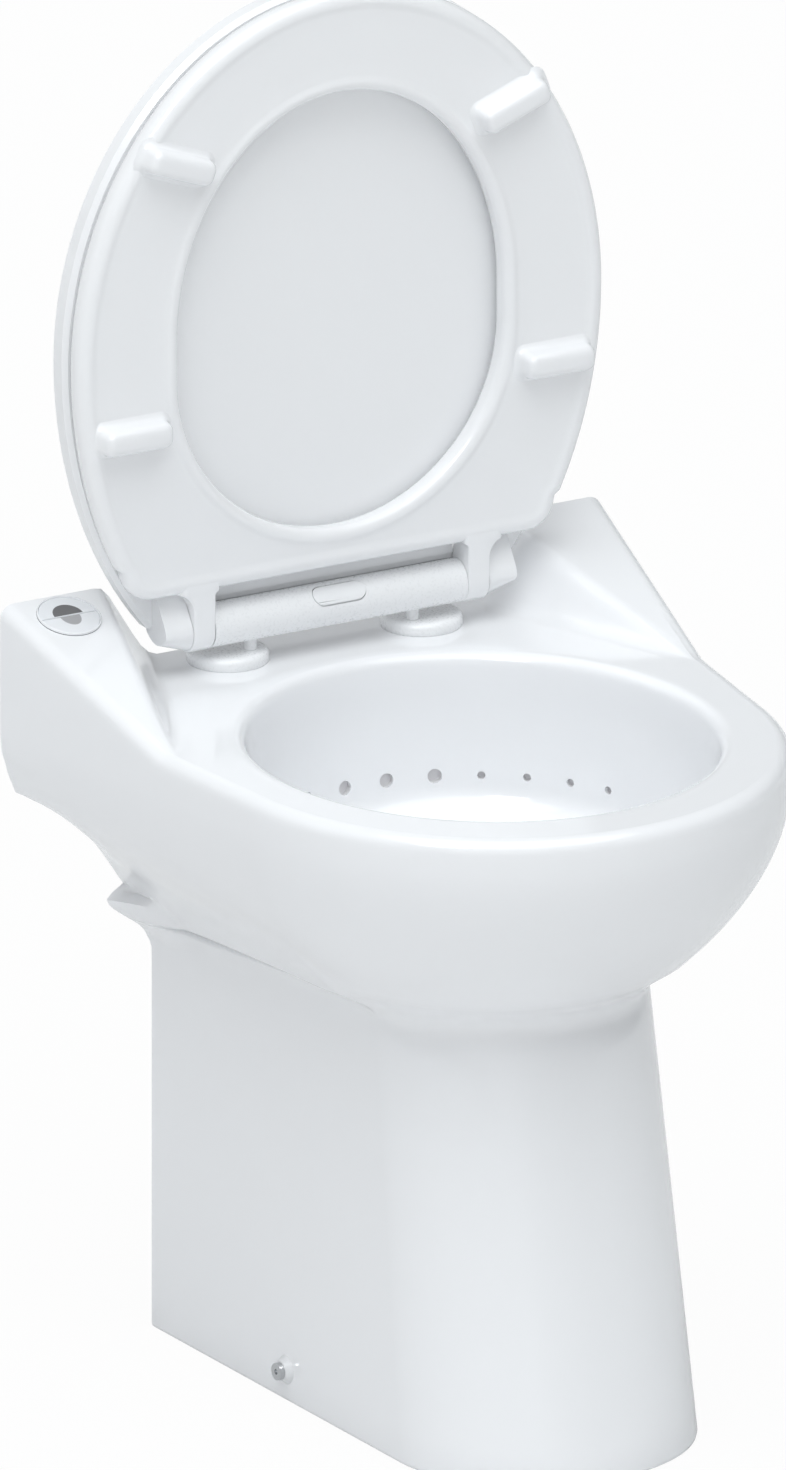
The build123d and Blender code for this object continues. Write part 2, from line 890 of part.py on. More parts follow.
seat_ear = hinge_arm(bar_length / 2 + side_play, ear_width, ear_diameter, seat_front_y, seat_back_y)
with BuildPart() as seat_ring:
    extrude(
        cover_outline(seat_width, rear - seat_back_y, seat_heel_reach, seat_heel_rounding),
        amount=seat_thickness,
    )
    with BuildSketch(Plane.XZ.offset(-seat_back_y)):
        with BuildLine():
            upper_arc = EllipticalCenterArc(
                (0, axis_z + opening_upper_reach),
                opening_seat_width / 2,
                opening_nose_reach - opening_upper_reach,
                start_angle=0,
                arc_size=180,
            )
            lower_arc = EllipticalCenterArc(
                (0, axis_z + opening_lower_reach),
                opening_seat_width / 2,
                opening_lower_reach - opening_heel_reach,
                start_angle=180,
                arc_size=180,
            )
            Line(upper_arc @ 1, lower_arc @ 0)
            Line(lower_arc @ 1, upper_arc @ 0)
        make_face()
    extrude(amount=seat_thickness, mode=Mode.SUBTRACT)
    fillet(seat_ring.edges().group_by(Axis.Y)[-1], seat_top_rounding)
    underside = seat_ring.faces().sort_by(Axis.Y)[0]
    chamfer(underside.outer_wire().edges(), seat_underside_rounding)
    underside = seat_ring.faces().sort_by(Axis.Y)[0]
    chamfer(underside.inner_wires()[0].edges(), seat_bevel_depth, seat_bevel_width, reference=underside)
    add(seat_ear)
    mirror(seat_ear, about=Plane.YZ)
    for side in sides:
        add(
            cross_tube(
                axis_y,
                axis_z,
                side * bar_length / 2 - overrun,
                side * bar_length / 2 + overrun,
                pin_diameter + 2 * fit_clearance,
                0,
            ),
            mode=Mode.SUBTRACT,
        )
seat_ring.part.label = "seat_ring"
export_step(seat_ring.part, "parts/seat_ring.step")

knuckle_start = bar_length / 2 + 2 * side_play + ear_width
lid_knuckle = hinge_arm(knuckle_start, knuckle_width, knuckle_diameter, lid_front_y, lid_back_y)
lid_dome_radius = ((lid_width / 2) ** 2 + lid_crown**2) / (2 * lid_crown)
with BuildPart() as lid:
    extrude(
        cover_outline(lid_width, rear - lid_back_y - lid_crown, lid_leg_reach, lid_rounding),
        amount=lid_edge_thickness + lid_crown,
    )
    with Locations((0, lid_back_y + lid_crown - lid_dome_radius, widest_z)):
        Sphere(lid_dome_radius, mode=Mode.INTERSECT)
    chamfer(lid.faces().sort_by(Axis.Y)[0].edges(), seat_underside_rounding)
    with BuildSketch(Plane.XZ.offset(-lid_back_y - lid_crown)):
        with Locations((0, axis_z)):
            Rectangle(2 * knuckle_start - 2 * lid_notch_gap, 2 * lid_middle_reach)
            for side in sides:
                with Locations((side * (bar_length / 2 + side_play + ear_width / 2), 0)):
                    Rectangle(ear_width + 2 * lid_notch_gap, 2 * (seat_heel_reach + ear_root + lid_notch_gap))
    extrude(amount=lid_edge_thickness + lid_crown, mode=Mode.SUBTRACT)
    add(lid_knuckle)
    mirror(lid_knuckle, about=Plane.YZ)
    for side in sides:
        add(
            cross_tube(
                axis_y,
                axis_z,
                side * knuckle_start - pin_depth_in_lid,
                side * knuckle_start + pin_depth_in_lid,
                pin_diameter + 2 * fit_clearance,
                0,
            ),
            mode=Mode.SUBTRACT,
        )
lid.part.label = "lid"
export_step(lid.part, "parts/lid.step")

bumper_height = seat_above_rim - bumper_clearance
with BuildPart() as seat_bumpers:
    for side in sides:
        for half, reach, turn in (
            (front_bumper_half, front_bumper_reach, front_bumper_turn),
            (rear_bumper_half, rear_bumper_reach, 0),
        ):
            bumper_plane = Plane(
                origin=(side * half, seat_front_y, axis_z + reach),
                x_dir=(side * cos(radians(turn)), 0, sin(radians(turn))),
                z_dir=(0, -1, 0),
            )
            bumper = slab(bumper_plane, 0, bumper_height, bumper_length, bumper_width, bumper_width / 3)
            add(bumper)
    chamfer(seat_bumpers.edges().group_by(Axis.Y)[0], bumper_draft)
seat_bumpers.part.label = "seat_bumpers"
export_step(seat_bumpers.part, "parts/seat_bumpers.step")

with BuildPart() as lid_bumpers:
    for side in sides:
        for half, reach in ((front_pad_half, front_pad_reach), (rear_pad_half, rear_pad_reach)):
            add(
                depth_tube(
                    side * half, axis_z + reach, lid_front_y, seat_back_y + bumper_clearance, pad_diameter, 0
                )
            )
lid_bumpers.part.label = "lid_bumpers"
export_step(lid_bumpers.part, "parts/lid_bumpers.step")

# Hinge bar with its button, and what holds it on the deck
release_plane = Plane(
    origin=(0, axis_y, axis_z),
    x_dir=(1, 0, 0),
    z_dir=(0, -sin(radians(release_tilt)), cos(radians(release_tilt))),
)
bar_bore = bar_diameter - 2 * bar_wall
bar_bottom = axis_z - bar_diameter / 2
disc_top = rim_height + hinge_disc_height
stud_top = disc_top + stud_engagement + bar_bottom - disc_top
with BuildPart() as hinge_bar:
    add(cross_tube(axis_y, axis_z, -bar_length / 2, bar_length / 2, bar_diameter, bar_bore))
    for side in sides:
        add(
            tube(
                side * stud_half_spacing,
                axis_y,
                bar_bottom - bar_wall,
                axis_z,
                stud_diameter + 2 * fit_clearance,
                0,
            ),
            mode=Mode.SUBTRACT,
        )
    with BuildSketch(release_plane):
        SlotOverall(release_length, release_width)
    extrude(amount=bar_diameter, mode=Mode.SUBTRACT)
hinge_bar.part.label = "hinge_bar"
export_step(hinge_bar.part, "parts/hinge_bar.step")

flange_top = sqrt((bar_bore / 2) ** 2 - (release_flange_width / 2) ** 2) - side_play
with BuildPart() as release_button:
    with BuildSketch(release_plane.offset(flange_top - release_flange_thickness)):
        SlotOverall(release_length - 2 * release_gap, release_width - 2 * release_gap)
    extrude(amount=bar_diameter)
    add(
        cross_tube(axis_y, axis_z, -release_length, release_length, bar_diameter + 2 * release_proud, 0),
        mode=Mode.INTERSECT,
    )
    with BuildSketch(release_plane.offset(flange_top - release_flange_thickness)):
        SlotOverall(release_flange_length, release_flange_width)
    extrude(amount=release_flange_thickness)
release_button.part.label = "release_button"
export_step(release_button.part, "parts/release_button.step")

damper_start = bar_length / 2 - damper_length
pin_start = bar_length / 2 - pin_depth_in_bar + side_play
pin_end = knuckle_start + pin_depth_in_lid - side_play
with BuildPart() as hinge_dampers:
    damper = cross_tube(axis_y, axis_z, damper_start, bar_length / 2, bar_bore - 2 * fit_clearance, 0)
    damper_bore = cross_tube(
        axis_y, axis_z, bar_length / 2 - pin_depth_in_bar, bar_length / 2, pin_diameter + 2 * fit_clearance, 0
    )
    add(damper - damper_bore)
    mirror(damper - damper_bore, about=Plane.YZ)
hinge_dampers.part.label = "hinge_dampers"
export_step(hinge_dampers.part, "parts/hinge_dampers.step")

with BuildPart() as hinge_pins:
    add(cross_tube(axis_y, axis_z, pin_start, pin_end, pin_diameter, 0))
    add(cross_tube(axis_y, axis_z, -pin_end, -pin_start, pin_diameter, 0))
hinge_pins.part.label = "hinge_pins"
export_step(hinge_pins.part, "parts/hinge_pins.step")

disc_y = rear - hinge_disc_from_wall
with BuildPart() as hinge_discs:
    for side in sides:
        add(tube(side * hinge_disc_half_spacing, disc_y, rim_height, disc_top, hinge_disc_diameter, 0))
    chamfer(hinge_discs.edges().group_by(Axis.Z)[-1], disc_bevel)
    for side in sides:
        add(
            tube(
                side * bolt_half_spacing,
                disc_y,
                rim_height,
                rim_height + bolt_engagement + side_play,
                bolt_diameter + 2 * fit_clearance,
                0,
            ),
            mode=Mode.SUBTRACT,
        )
hinge_discs.part.label = "hinge_discs"
export_step(hinge_discs.part, "parts/hinge_discs.step")

with BuildPart() as hinge_studs:
    for side in sides:
        stud_x = side * stud_half_spacing
        groove_bottom = stud_top - 2 * stud_groove_width
        add(tube(stud_x, axis_y, disc_top, stud_top, stud_diameter, 0))
        add(
            tube(
                stud_x,
                axis_y,
                groove_bottom,
                groove_bottom + stud_groove_width,
                2 * stud_diameter,
                stud_diameter - 2 * stud_groove_depth,
            ),
            mode=Mode.SUBTRACT,
        )
hinge_studs.part.label = "hinge_studs"
export_step(hinge_studs.part, "parts/hinge_studs.step")

bolt_top = rim_height + bolt_engagement
deck_bottom = rim_height - ceramic_wall
with BuildPart() as hinge_bolts:
    for side in sides:
        add(tube(side * bolt_half_spacing, disc_y, bolt_top - bolt_length, bolt_top, bolt_diameter, 0))
hinge_bolts.part.label = "hinge_bolts"
export_step(hinge_bolts.part, "parts/hinge_bolts.step")

washer_bottom = deck_bottom - cone_washer_height
with BuildPart() as hinge_cone_washers:
    for side in sides:
        with Locations((side * bolt_half_spacing, disc_y, (deck_bottom + washer_bottom) / 2)):
            Cone(cone_washer_tip / 2, cone_washer_diameter / 2, cone_washer_height)
        add(
            tube(
                side * bolt_half_spacing,
                disc_y,
                washer_bottom,
                deck_bottom,
                bolt_diameter + 2 * fit_clearance,
                0,
            ),
            mode=Mode.SUBTRACT,
        )
hinge_cone_washers.part.label = "hinge_cone_washers"
export_step(hinge_cone_washers.part, "parts/hinge_cone_washers.step")

nut_bottom = washer_bottom - wing_nut_height
with BuildPart() as hinge_wing_nuts:
    for side in sides:
        add(tube(side * bolt_half_spacing, disc_y, nut_bottom, washer_bottom, wing_nut_diameter, 0))
        wing_plane = Plane(origin=(side * bolt_half_spacing, disc_y, 0))
        add(slab(wing_plane, nut_bottom, washer_bottom - wing_thickness, wing_span, wing_thickness, 0))
        add(
            tube(
                side * bolt_half_spacing,
                disc_y,
                nut_bottom,
                washer_bottom,
                bolt_diameter + 2 * fit_clearance,
                0,
            ),
            mode=Mode.SUBTRACT,
        )
hinge_wing_nuts.part.label = "hinge_wing_nuts"
export_step(hinge_wing_nuts.part, "parts/hinge_wing_nuts.step")

# Flush button
sleeve_outer = button_bore + 2 * button_sleeve_wall
with BuildPart() as flush_button_housing:
    add(plane_tube(button_plane, -button_sleeve_length, button_ring_height, sleeve_outer, button_bore))
    add(plane_tube(button_plane, 0, button_ring_height, button_ring_diameter, button_bore))
    ring_edges = flush_button_housing.edges().filter_by(GeomType.CIRCLE).sort_by(SortBy.RADIUS)[-2:]
    chamfer(ring_edges.sort_by(Axis.Z)[-1:], button_ring_height / 2)
    with BuildSketch(button_plane.offset(-button_floor_depth - button_floor_thickness)):
        Circle(button_bore / 2)
        with Locations((0, button_stem_from_split), (0, -button_stem_from_split)):
            Circle(button_stem_diameter / 2 + fit_clearance, mode=Mode.SUBTRACT)
    extrude(amount=button_floor_thickness)
flush_button_housing.part.label = "flush_button_housing"
export_step(flush_button_housing.part, "parts/flush_button_housing.step")

button_half_names = {1: "full_flush_button", -1: "half_flush_button"}
for button_side, button_name in button_half_names.items():
    with BuildPart() as button_part:
        with BuildSketch(button_plane.offset(button_proud - button_height)):
            Circle(button_bore / 2 - button_running_gap)
            with Locations((0, -button_side * (button_bore / 2 - button_split_gap / 2))):
                Rectangle(button_bore, button_bore, mode=Mode.SUBTRACT)
        extrude(amount=button_height)
        with BuildSketch(button_plane.offset(-button_floor_depth - button_floor_thickness)):
            with Locations((0, button_side * button_stem_from_split)):
                Circle(button_stem_diameter / 2)
        extrude(amount=button_floor_depth + button_floor_thickness + button_proud - button_height)
    button_part.part.label = button_name
    export_step(button_part.part, "parts/" + button_name + ".step")

spring_top = button_proud - button_height
with BuildPart() as flush_button_springs:
    for button_side in sides:
        with BuildSketch(button_plane.offset(-button_floor_depth)):
            with Locations((0, button_side * button_stem_from_split)):
                Circle(button_spring_diameter / 2)
                Circle(button_spring_diameter / 2 - button_spring_wall, mode=Mode.SUBTRACT)
        extrude(amount=button_floor_depth + spring_top)
flush_button_springs.part.label = "flush_button_springs"
export_step(flush_button_springs.part, "parts/flush_button_springs.step")

nut_top = -shoulder_wall - button_nut_gap
with BuildPart() as flush_button_nut:
    add(
        plane_tube(
            button_plane,
            nut_top - button_nut_height,
            nut_top,
            button_nut_diameter,
            sleeve_outer + 2 * fit_clearance,
        )
    )
flush_button_nut.part.label = "flush_button_nut"
export_step(flush_button_nut.part, "parts/flush_button_nut.step")

switch_top = -button_floor_depth - button_floor_thickness - button_travel - button_sleeve_play
with BuildPart() as flush_switch_block:
    add(slab(button_plane, switch_top - switch_height, switch_top, switch_width, switch_depth, 0))
    add(
        plane_tube(
            button_plane,
            switch_top - switch_height,
            switch_top - switch_height + button_floor_thickness,
            button_bore - 2 * fit_clearance,
            0,
        )
    )
flush_switch_block.part.label = "flush_switch_block"
export_step(flush_switch_block.part, "parts/flush_switch_block.step")

# Side fixings
with BuildPart() as side_fixing_collars:
    for fixing_plane in fixing_planes:
        with BuildSketch(fixing_plane.offset(-collar_seat_depth)) as collar_foot:
            Circle(collar_diameter / 2)
        with BuildSketch(fixing_plane.offset(collar_thickness - collar_seat_depth)) as collar_top:
            Circle(collar_tip / 2)
        loft(sections=[collar_foot.sketch, collar_top.sketch])
        add(
            plane_tube(
                fixing_plane, -collar_thickness, 2 * collar_thickness, screw_diameter + 2 * fit_clearance, 0
            ),
            mode=Mode.SUBTRACT,
        )
side_fixing_collars.part.label = "side_fixing_collars"
export_step(side_fixing_collars.part, "parts/side_fixing_collars.step")

screw_seat = collar_thickness - collar_seat_depth
with BuildPart() as side_fixing_screws:
    for fixing_plane in fixing_planes:
        add(plane_tube(fixing_plane, screw_seat, screw_seat + screw_head_height, screw_head_diameter, 0))
        add(plane_tube(fixing_plane, screw_seat - screw_length, screw_seat, screw_diameter, 0))
        with BuildSketch(fixing_plane.offset(screw_seat + screw_head_height / 2)):
            RegularPolygon(screw_socket / 2, 6)
        extrude(amount=screw_head_height, mode=Mode.SUBTRACT)
side_fixing_screws.part.label = "side_fixing_screws"
export_step(side_fixing_screws.part, "parts/side_fixing_screws.step")

bracket_face = -ceramic_wall - bracket_gap
with BuildPart() as side_fixing_brackets:
    for side, fixing_plane in zip(sides, fixing_planes):
        bracket_plane = Plane(
            origin=fixing_plane.origin + (0, 0, bracket_height / 2 - fixing_height),
            x_dir=(0, 0, 1),
            z_dir=fixing_plane.z_dir,
        )
        add(
            slab(bracket_plane, bracket_face - bracket_thickness, bracket_face, bracket_height, bracket_width, 0)
        )
        floor_plane = Plane(
            origin=fixing_plane.origin + (0, 0, bracket_thickness / 2 - fixing_height),
            x_dir=(0, 0, 1),
            z_dir=fixing_plane.z_dir,
        )
        add(slab(floor_plane, bracket_face - bracket_reach, bracket_face, bracket_thickness, bracket_width, 0))
        add(
            plane_tube(
                fixing_plane,
                bracket_face - bracket_reach,
                bracket_face + overrun,
                screw_diameter + 2 * fit_clearance,
                0,
            ),
            mode=Mode.SUBTRACT,
        )
        add(
            tube(
                side * (fixing_half - ceramic_wall - bracket_gap - bracket_thickness - bracket_width / 3),
                fixing_y,
                0,
                bracket_thickness,
                bracket_floor_hole,
                0,
            ),
            mode=Mode.SUBTRACT,
        )
side_fixing_brackets.part.label = "side_fixing_brackets"
export_step(side_fixing_brackets.part, "parts/side_fixing_brackets.step")

# Macerator tank, standing on the floor behind the outlet, as wide as the flanks leave room for
tank_room_half = flank_half(rear - tank_rear_gap - tank_length, *pedestal_level(tank_top_height, ceramic_wall))[0]
tank_width = 2 * (tank_room_half - tank_side_gap)
tank_y = rear - tank_rear_gap - tank_length / 2
tank_front_y = tank_y - tank_length / 2
tank_plane = Plane(origin=(0, tank_y, 0))
flange_extra = 2 * tank_flange_width
inlet_outer = outlet_bore + 2 * bowl_wall
outlet_end_y = rear - outlet_from_wall
screw_spots = [
    (side * (tank_width / 2 + cover_screw_inset - tank_flange_width / 2), tank_y + place_y)
    for side in sides
    for place_y in (-tank_length / 3, 0, tank_length / 3)
]
with BuildPart() as macerator_tank:
    add(slab(tank_plane, tank_floor_height, tank_top_height, tank_width, tank_length, tank_corner))
    add(
        slab(
            tank_plane,
            tank_top_height - tank_flange_height,
            tank_top_height,
            tank_width + flange_extra,
            tank_length + flange_extra,
            tank_corner + tank_flange_width,
        )
    )
    add(depth_tube(0, outlet_height, tank_y, outlet_end_y + inlet_gap, inlet_outer, 0))
    add(
        slab(
            tank_plane,
            tank_floor_height + tank_wall,
            tank_top_height,
            tank_width - 2 * tank_wall,
            tank_length - 2 * tank_wall,
            tank_corner - tank_wall,
        ),
        mode=Mode.SUBTRACT,
    )
    add(depth_tube(0, outlet_height, tank_y, outlet_end_y, inlet_bore, 0), mode=Mode.SUBTRACT)
macerator_tank.part.label = "macerator_tank"
export_step(macerator_tank.part, "parts/macerator_tank.step")

with BuildPart() as tank_feet:
    for side in sides:
        for end in sides:
            add(
                tube(
                    side * (tank_width / 2 - foot_inset),
                    tank_y + end * (tank_length / 2 - foot_inset),
                    0,
                    tank_floor_height,
                    foot_diameter,
                    0,
                )
            )
tank_feet.part.label = "tank_feet"
export_step(tank_feet.part, "parts/tank_feet.step")

gasket_top = tank_top_height + gasket_height
cover_top = gasket_top + cover_height
with BuildPart() as tank_gasket:
    add(
        slab(
            tank_plane,
            tank_top_height,
            gasket_top,
            tank_width,
            tank_length,
            tank_corner,
        )
    )
    add(
        slab(
            tank_plane,
            tank_top_height,
            gasket_top,
            tank_width - 2 * gasket_width,
            tank_length - 2 * gasket_width,
            tank_corner - gasket_width,
        ),
        mode=Mode.SUBTRACT,
    )
tank_gasket.part.label = "tank_gasket"
export_step(tank_gasket.part, "parts/tank_gasket.step")

riser_y = rear - riser_from_wall
switch_y = rear - switch_from_wall
with BuildPart() as tank_cover:
    add(
        slab(
            tank_plane,
            gasket_top,
            cover_top,
            tank_width + flange_extra,
            tank_length + flange_extra,
            tank_corner + tank_flange_width,
        )
    )
    add(tube(0, tank_y, gasket_top, cover_top, seal_diameter + 2 * fit_clearance, 0), mode=Mode.SUBTRACT)
    add(tube(riser_half, riser_y, gasket_top, cover_top, riser_diameter + 2 * riser_play, 0), mode=Mode.SUBTRACT)
    add(
        tube(-switch_half, switch_y, gasket_top, cover_top, bell_diameter - 2 * bell_wall, 0),
        mode=Mode.SUBTRACT,
    )
    for screw_x, screw_y in screw_spots:
        add(
            tube(screw_x, screw_y, gasket_top, cover_top, cover_screw_diameter + 2 * fit_clearance, 0),
            mode=Mode.SUBTRACT,
        )
tank_cover.part.label = "tank_cover"
export_step(tank_cover.part, "parts/tank_cover.step")

with BuildPart() as cover_screws:
    for screw_x, screw_y in screw_spots:
        with BuildSketch(Plane.XY.offset(cover_top)):
            with Locations((screw_x, screw_y)):
                RegularPolygon(cover_screw_head / 2, 6)
        extrude(amount=cover_screw_head_height)
        add(tube(screw_x, screw_y, gasket_top + side_play, cover_top, cover_screw_diameter, 0))
cover_screws.part.label = "cover_screws"
export_step(cover_screws.part, "parts/cover_screws.step")

sleeve_y = outlet_end_y + inlet_gap / 2
sleeve_outer_size = inlet_outer + 2 * fit_clearance + 2 * sleeve_wall
with BuildPart() as inlet_sleeve:
    add(
        depth_tube(
            0,
            outlet_height,
            sleeve_y + sleeve_length / 2,
            sleeve_y - sleeve_length / 2,
            sleeve_outer_size,
            inlet_outer + 2 * fit_clearance,
        )
    )
inlet_sleeve.part.label = "inlet_sleeve"
export_step(inlet_sleeve.part, "parts/inlet_sleeve.step")

clamp_outer = sleeve_outer_size + 2 * fit_clearance + 2 * clamp_thickness
with BuildPart() as sleeve_clamps:
    for end in sides:
        clamp_y = sleeve_y + end * (sleeve_length / 2 - clamp_inset)
        add(
            depth_tube(
                0,
                outlet_height,
                clamp_y + clamp_width / 2,
                clamp_y - clamp_width / 2,
                clamp_outer,
                sleeve_outer_size + 2 * fit_clearance,
            )
        )
        clamp_screw_z = outlet_height + clamp_outer / 2 + clamp_screw_diameter / 2 - clamp_thickness / 2
        add(
            cross_tube(
                clamp_y,
                clamp_screw_z,
                -clamp_screw_length / 2,
                clamp_screw_length / 2,
                clamp_screw_diameter,
                0,
            )
        )
sleeve_clamps.part.label = "sleeve_clamps"
export_step(sleeve_clamps.part, "parts/sleeve_clamps.step")

# Basket under the cover, round the inlet, with slots low in its wall
basket_plane = Plane(origin=(0, tank_y, 0))
with BuildPart() as grinder_basket:
    add(
        tube(
            0, tank_y, basket_bottom_height, gasket_top, basket_diameter, basket_diameter - 2 * basket_wall
        )
    )
    add(
        tube(
            0,
            tank_y,
            basket_bottom_height,
            basket_bottom_height + basket_wall,
            basket_diameter,
            shaft_diameter + 2 * basket_wall,
        )
    )
    slot_plane = Plane(origin=(0, tank_y, basket_bottom_height + basket_wall))
    slot_block = slab(
        slot_plane, basket_wall, basket_wall + basket_slot_height, basket_diameter, basket_slot_width, 0
    )
    slot_core = tube(
        0,
        tank_y,
        basket_bottom_height,
        gasket_top,
        basket_diameter - 4 * basket_wall,
        0,
    )
    for slot_index in range(basket_slot_count // 2):
        turned_slot = slot_block.rotate(Axis((0, tank_y, 0), (0, 0, 1)), slot_index * 360 / basket_slot_count)
        add(turned_slot - slot_core, mode=Mode.SUBTRACT)
    add(depth_tube(0, outlet_height, tank_y, tank_front_y, inlet_bore - 2 * basket_wall, 0), mode=Mode.SUBTRACT)
grinder_basket.part.label = "grinder_basket"
export_step(grinder_basket.part, "parts/grinder_basket.step")

# Pump volute on the floor of the tank, with its tangential outlet
tank_inside = tank_floor_height + tank_wall
riser_axis_height = (volute_bottom_height + volute_top_height) / 2
volute_offset = riser_y - tank_y
volute_exit_x = sqrt((volute_diameter / 2) ** 2 - volute_offset**2)
with BuildPart() as pump_volute:
    add(tube(0, tank_y, volute_bottom_height, volute_top_height, volute_diameter, 0))
    for foot_index in range(3):
        foot_turn = radians(foot_index * 120)
        foot_spot = volute_diameter / 2 - 2 * volute_wall
        add(
            tube(
                foot_spot * cos(foot_turn),
                tank_y + foot_spot * sin(foot_turn),
                tank_inside,
                volute_bottom_height,
                3 * volute_wall,
                0,
            )
        )
    add(
        cross_tube(
            riser_y,
            riser_axis_height,
            volute_exit_x - 2 * volute_wall,
            riser_half - riser_bend,
            riser_diameter + 2 * riser_play + 2 * volute_wall,
            0,
        )
    )
    add(
        tube(
            0,
            tank_y,
            volute_bottom_height + volute_wall,
            volute_top_height - volute_wall,
            volute_diameter - 2 * volute_wall,
            0,
        ),
        mode=Mode.SUBTRACT,
    )
    add(tube(0, tank_y, volute_bottom_height + volute_wall, volute_top_height, volute_eye, 0), mode=Mode.SUBTRACT)
    add(
        cross_tube(
            riser_y,
            riser_axis_height,
            0,
            riser_half,
            riser_diameter + 2 * riser_play,
            0,
        ),
        mode=Mode.SUBTRACT,
    )
pump_volute.part.label = "pump_volute"
export_step(pump_volute.part, "parts/pump_volute.step")

valve_bottom = cover_top
with BuildPart() as riser_pipe:
    add(
        bent_tube(
            Vector(volute_exit_x + volute_wall, riser_y, riser_axis_height),
            Vector(riser_half, riser_y, riser_axis_height),
            Vector(riser_half, riser_y, valve_bottom),
            riser_bend,
            riser_diameter,
            riser_diameter - 2 * riser_wall,
            (0, 1, 0),
        )
    )
riser_pipe.part.label = "riser_pipe"
export_step(riser_pipe.part, "parts/riser_pipe.step")

# Check valve: a body with a seat, and a flap that swings up on its own pin
valve_seat_top = valve_bottom + valve_seat_height
valve_top = valve_bottom + valve_height
flap_pin_y = riser_y + flap_diameter / 2 + flap_pin_diameter / 2
flap_pin_z = valve_seat_top + side_play + flap_thickness / 2
valve_bore = valve_diameter - 2 * valve_wall
with BuildPart() as check_valve_body:
    add(tube(riser_half, riser_y, valve_bottom, valve_top, valve_diameter, 0))
    add(tube(riser_half, riser_y, valve_seat_top, valve_top, valve_bore, 0), mode=Mode.SUBTRACT)
    add(tube(riser_half, riser_y, valve_bottom, valve_seat_top, valve_seat_bore, 0), mode=Mode.SUBTRACT)
    add(
        cross_tube(
            flap_pin_y,
            flap_pin_z,
            riser_half - flap_pin_length / 2 - side_play,
            riser_half + flap_pin_length / 2 + side_play,
            flap_pin_diameter + 2 * fit_clearance,
            0,
        ),
        mode=Mode.SUBTRACT,
    )
check_valve_body.part.label = "check_valve_body"
export_step(check_valve_body.part, "parts/check_valve_body.step")

with BuildPart() as check_valve_flap:
    add(
        tube(
            riser_half,
            riser_y,
            valve_seat_top + side_play,
            valve_seat_top + side_play + flap_thickness,
            flap_diameter,
            0,
        )
    )
    add(
        cross_tube(
            flap_pin_y,
            flap_pin_z,
            riser_half - flap_pin_length / 2,
            riser_half + flap_pin_length / 2,
            flap_pin_diameter,
            0,
        )
    )
    arm_plane = Plane(origin=(riser_half, (riser_y + flap_pin_y) / 2, 0))
    add(
        slab(
            arm_plane,
            valve_seat_top + side_play,
            valve_seat_top + side_play + flap_thickness,
            flap_arm_width,
            flap_pin_y - riser_y,
            0,
        )
    )
check_valve_flap.part.label = "check_valve_flap"
export_step(check_valve_flap.part, "parts/check_valve_flap.step")

with BuildPart() as discharge_elbow:
    add(
        bent_tube(
            Vector(riser_half, riser_y, valve_top),
            Vector(riser_half, riser_y, discharge_height),
            Vector(riser_half, rear - discharge_from_wall, discharge_height),
            discharge_bend,
            discharge_diameter,
            discharge_diameter - 2 * discharge_wall,
            (1, 0, 0),
        )
    )
discharge_elbow.part.label = "discharge_elbow"
export_step(discharge_elbow.part, "parts/discharge_elbow.step")

# Motor on the cover, its shaft, and what turns with it
casing_bottom = cover_top
casing_top = casing_bottom + motor_height
cap_top = casing_top + motor_cap_height
lower_bearing_bottom = casing_bottom + motor_floor
upper_bearing_top = casing_top + bearing_height / 2
with BuildPart() as motor_casing:
    add(tube(0, tank_y, casing_bottom, casing_top, motor_diameter, 0))
    with Locations((0, tank_y, casing_bottom + motor_height / 2)):
        with PolarLocations(motor_diameter / 2, motor_rib_count):
            Box(2 * motor_rib_depth, motor_rib_width, motor_height - 2 * motor_wall, mode=Mode.SUBTRACT)
    add(
        tube(0, tank_y, casing_bottom + motor_floor, casing_top, motor_diameter - 4 * motor_wall, 0),
        mode=Mode.SUBTRACT,
    )
    add(
        tube(
            0,
            tank_y,
            casing_bottom + motor_floor,
            casing_bottom + motor_floor + bearing_height,
            bearing_diameter + 2 * bearing_housing_wall,
            bearing_diameter + 2 * fit_clearance,
        )
    )
    add(
        tube(0, tank_y, casing_bottom, casing_bottom + motor_floor, seal_diameter, 0),
        mode=Mode.SUBTRACT,
    )
motor_casing.part.label = "motor_casing"
export_step(motor_casing.part, "parts/motor_casing.step")

cap_inside = casing_top + motor_cap_height - motor_wall
with BuildPart() as motor_end_cap:
    add(tube(0, tank_y, casing_top, cap_top, motor_diameter, 0))
    chamfer(motor_end_cap.edges().group_by(Axis.Z)[-1], motor_cap_rounding)
    add(
        tube(0, tank_y, casing_top, cap_inside, motor_diameter - 4 * motor_wall, 0),
        mode=Mode.SUBTRACT,
    )
    add(
        tube(
            0,
            tank_y,
            casing_top,
            cap_inside,
            bearing_diameter + 2 * bearing_housing_wall,
            bearing_diameter + 2 * fit_clearance,
        )
    )
motor_end_cap.part.label = "motor_end_cap"
export_step(motor_end_cap.part, "parts/motor_end_cap.step")

with BuildPart() as motor_bearings:
    for bearing_bottom in (lower_bearing_bottom, casing_top + side_play):
        add(
            tube(
                0,
                tank_y,
                bearing_bottom,
                bearing_bottom + bearing_height,
                bearing_diameter,
                shaft_diameter + 2 * fit_clearance,
            )
        )
motor_bearings.part.label = "motor_bearings"
export_step(motor_bearings.part, "parts/motor_bearings.step")

with BuildPart() as shaft_seal:
    add(tube(0, tank_y, gasket_top, cover_top, seal_diameter, shaft_diameter + 2 * fit_clearance))
shaft_seal.part.label = "shaft_seal"
export_step(shaft_seal.part, "parts/shaft_seal.step")

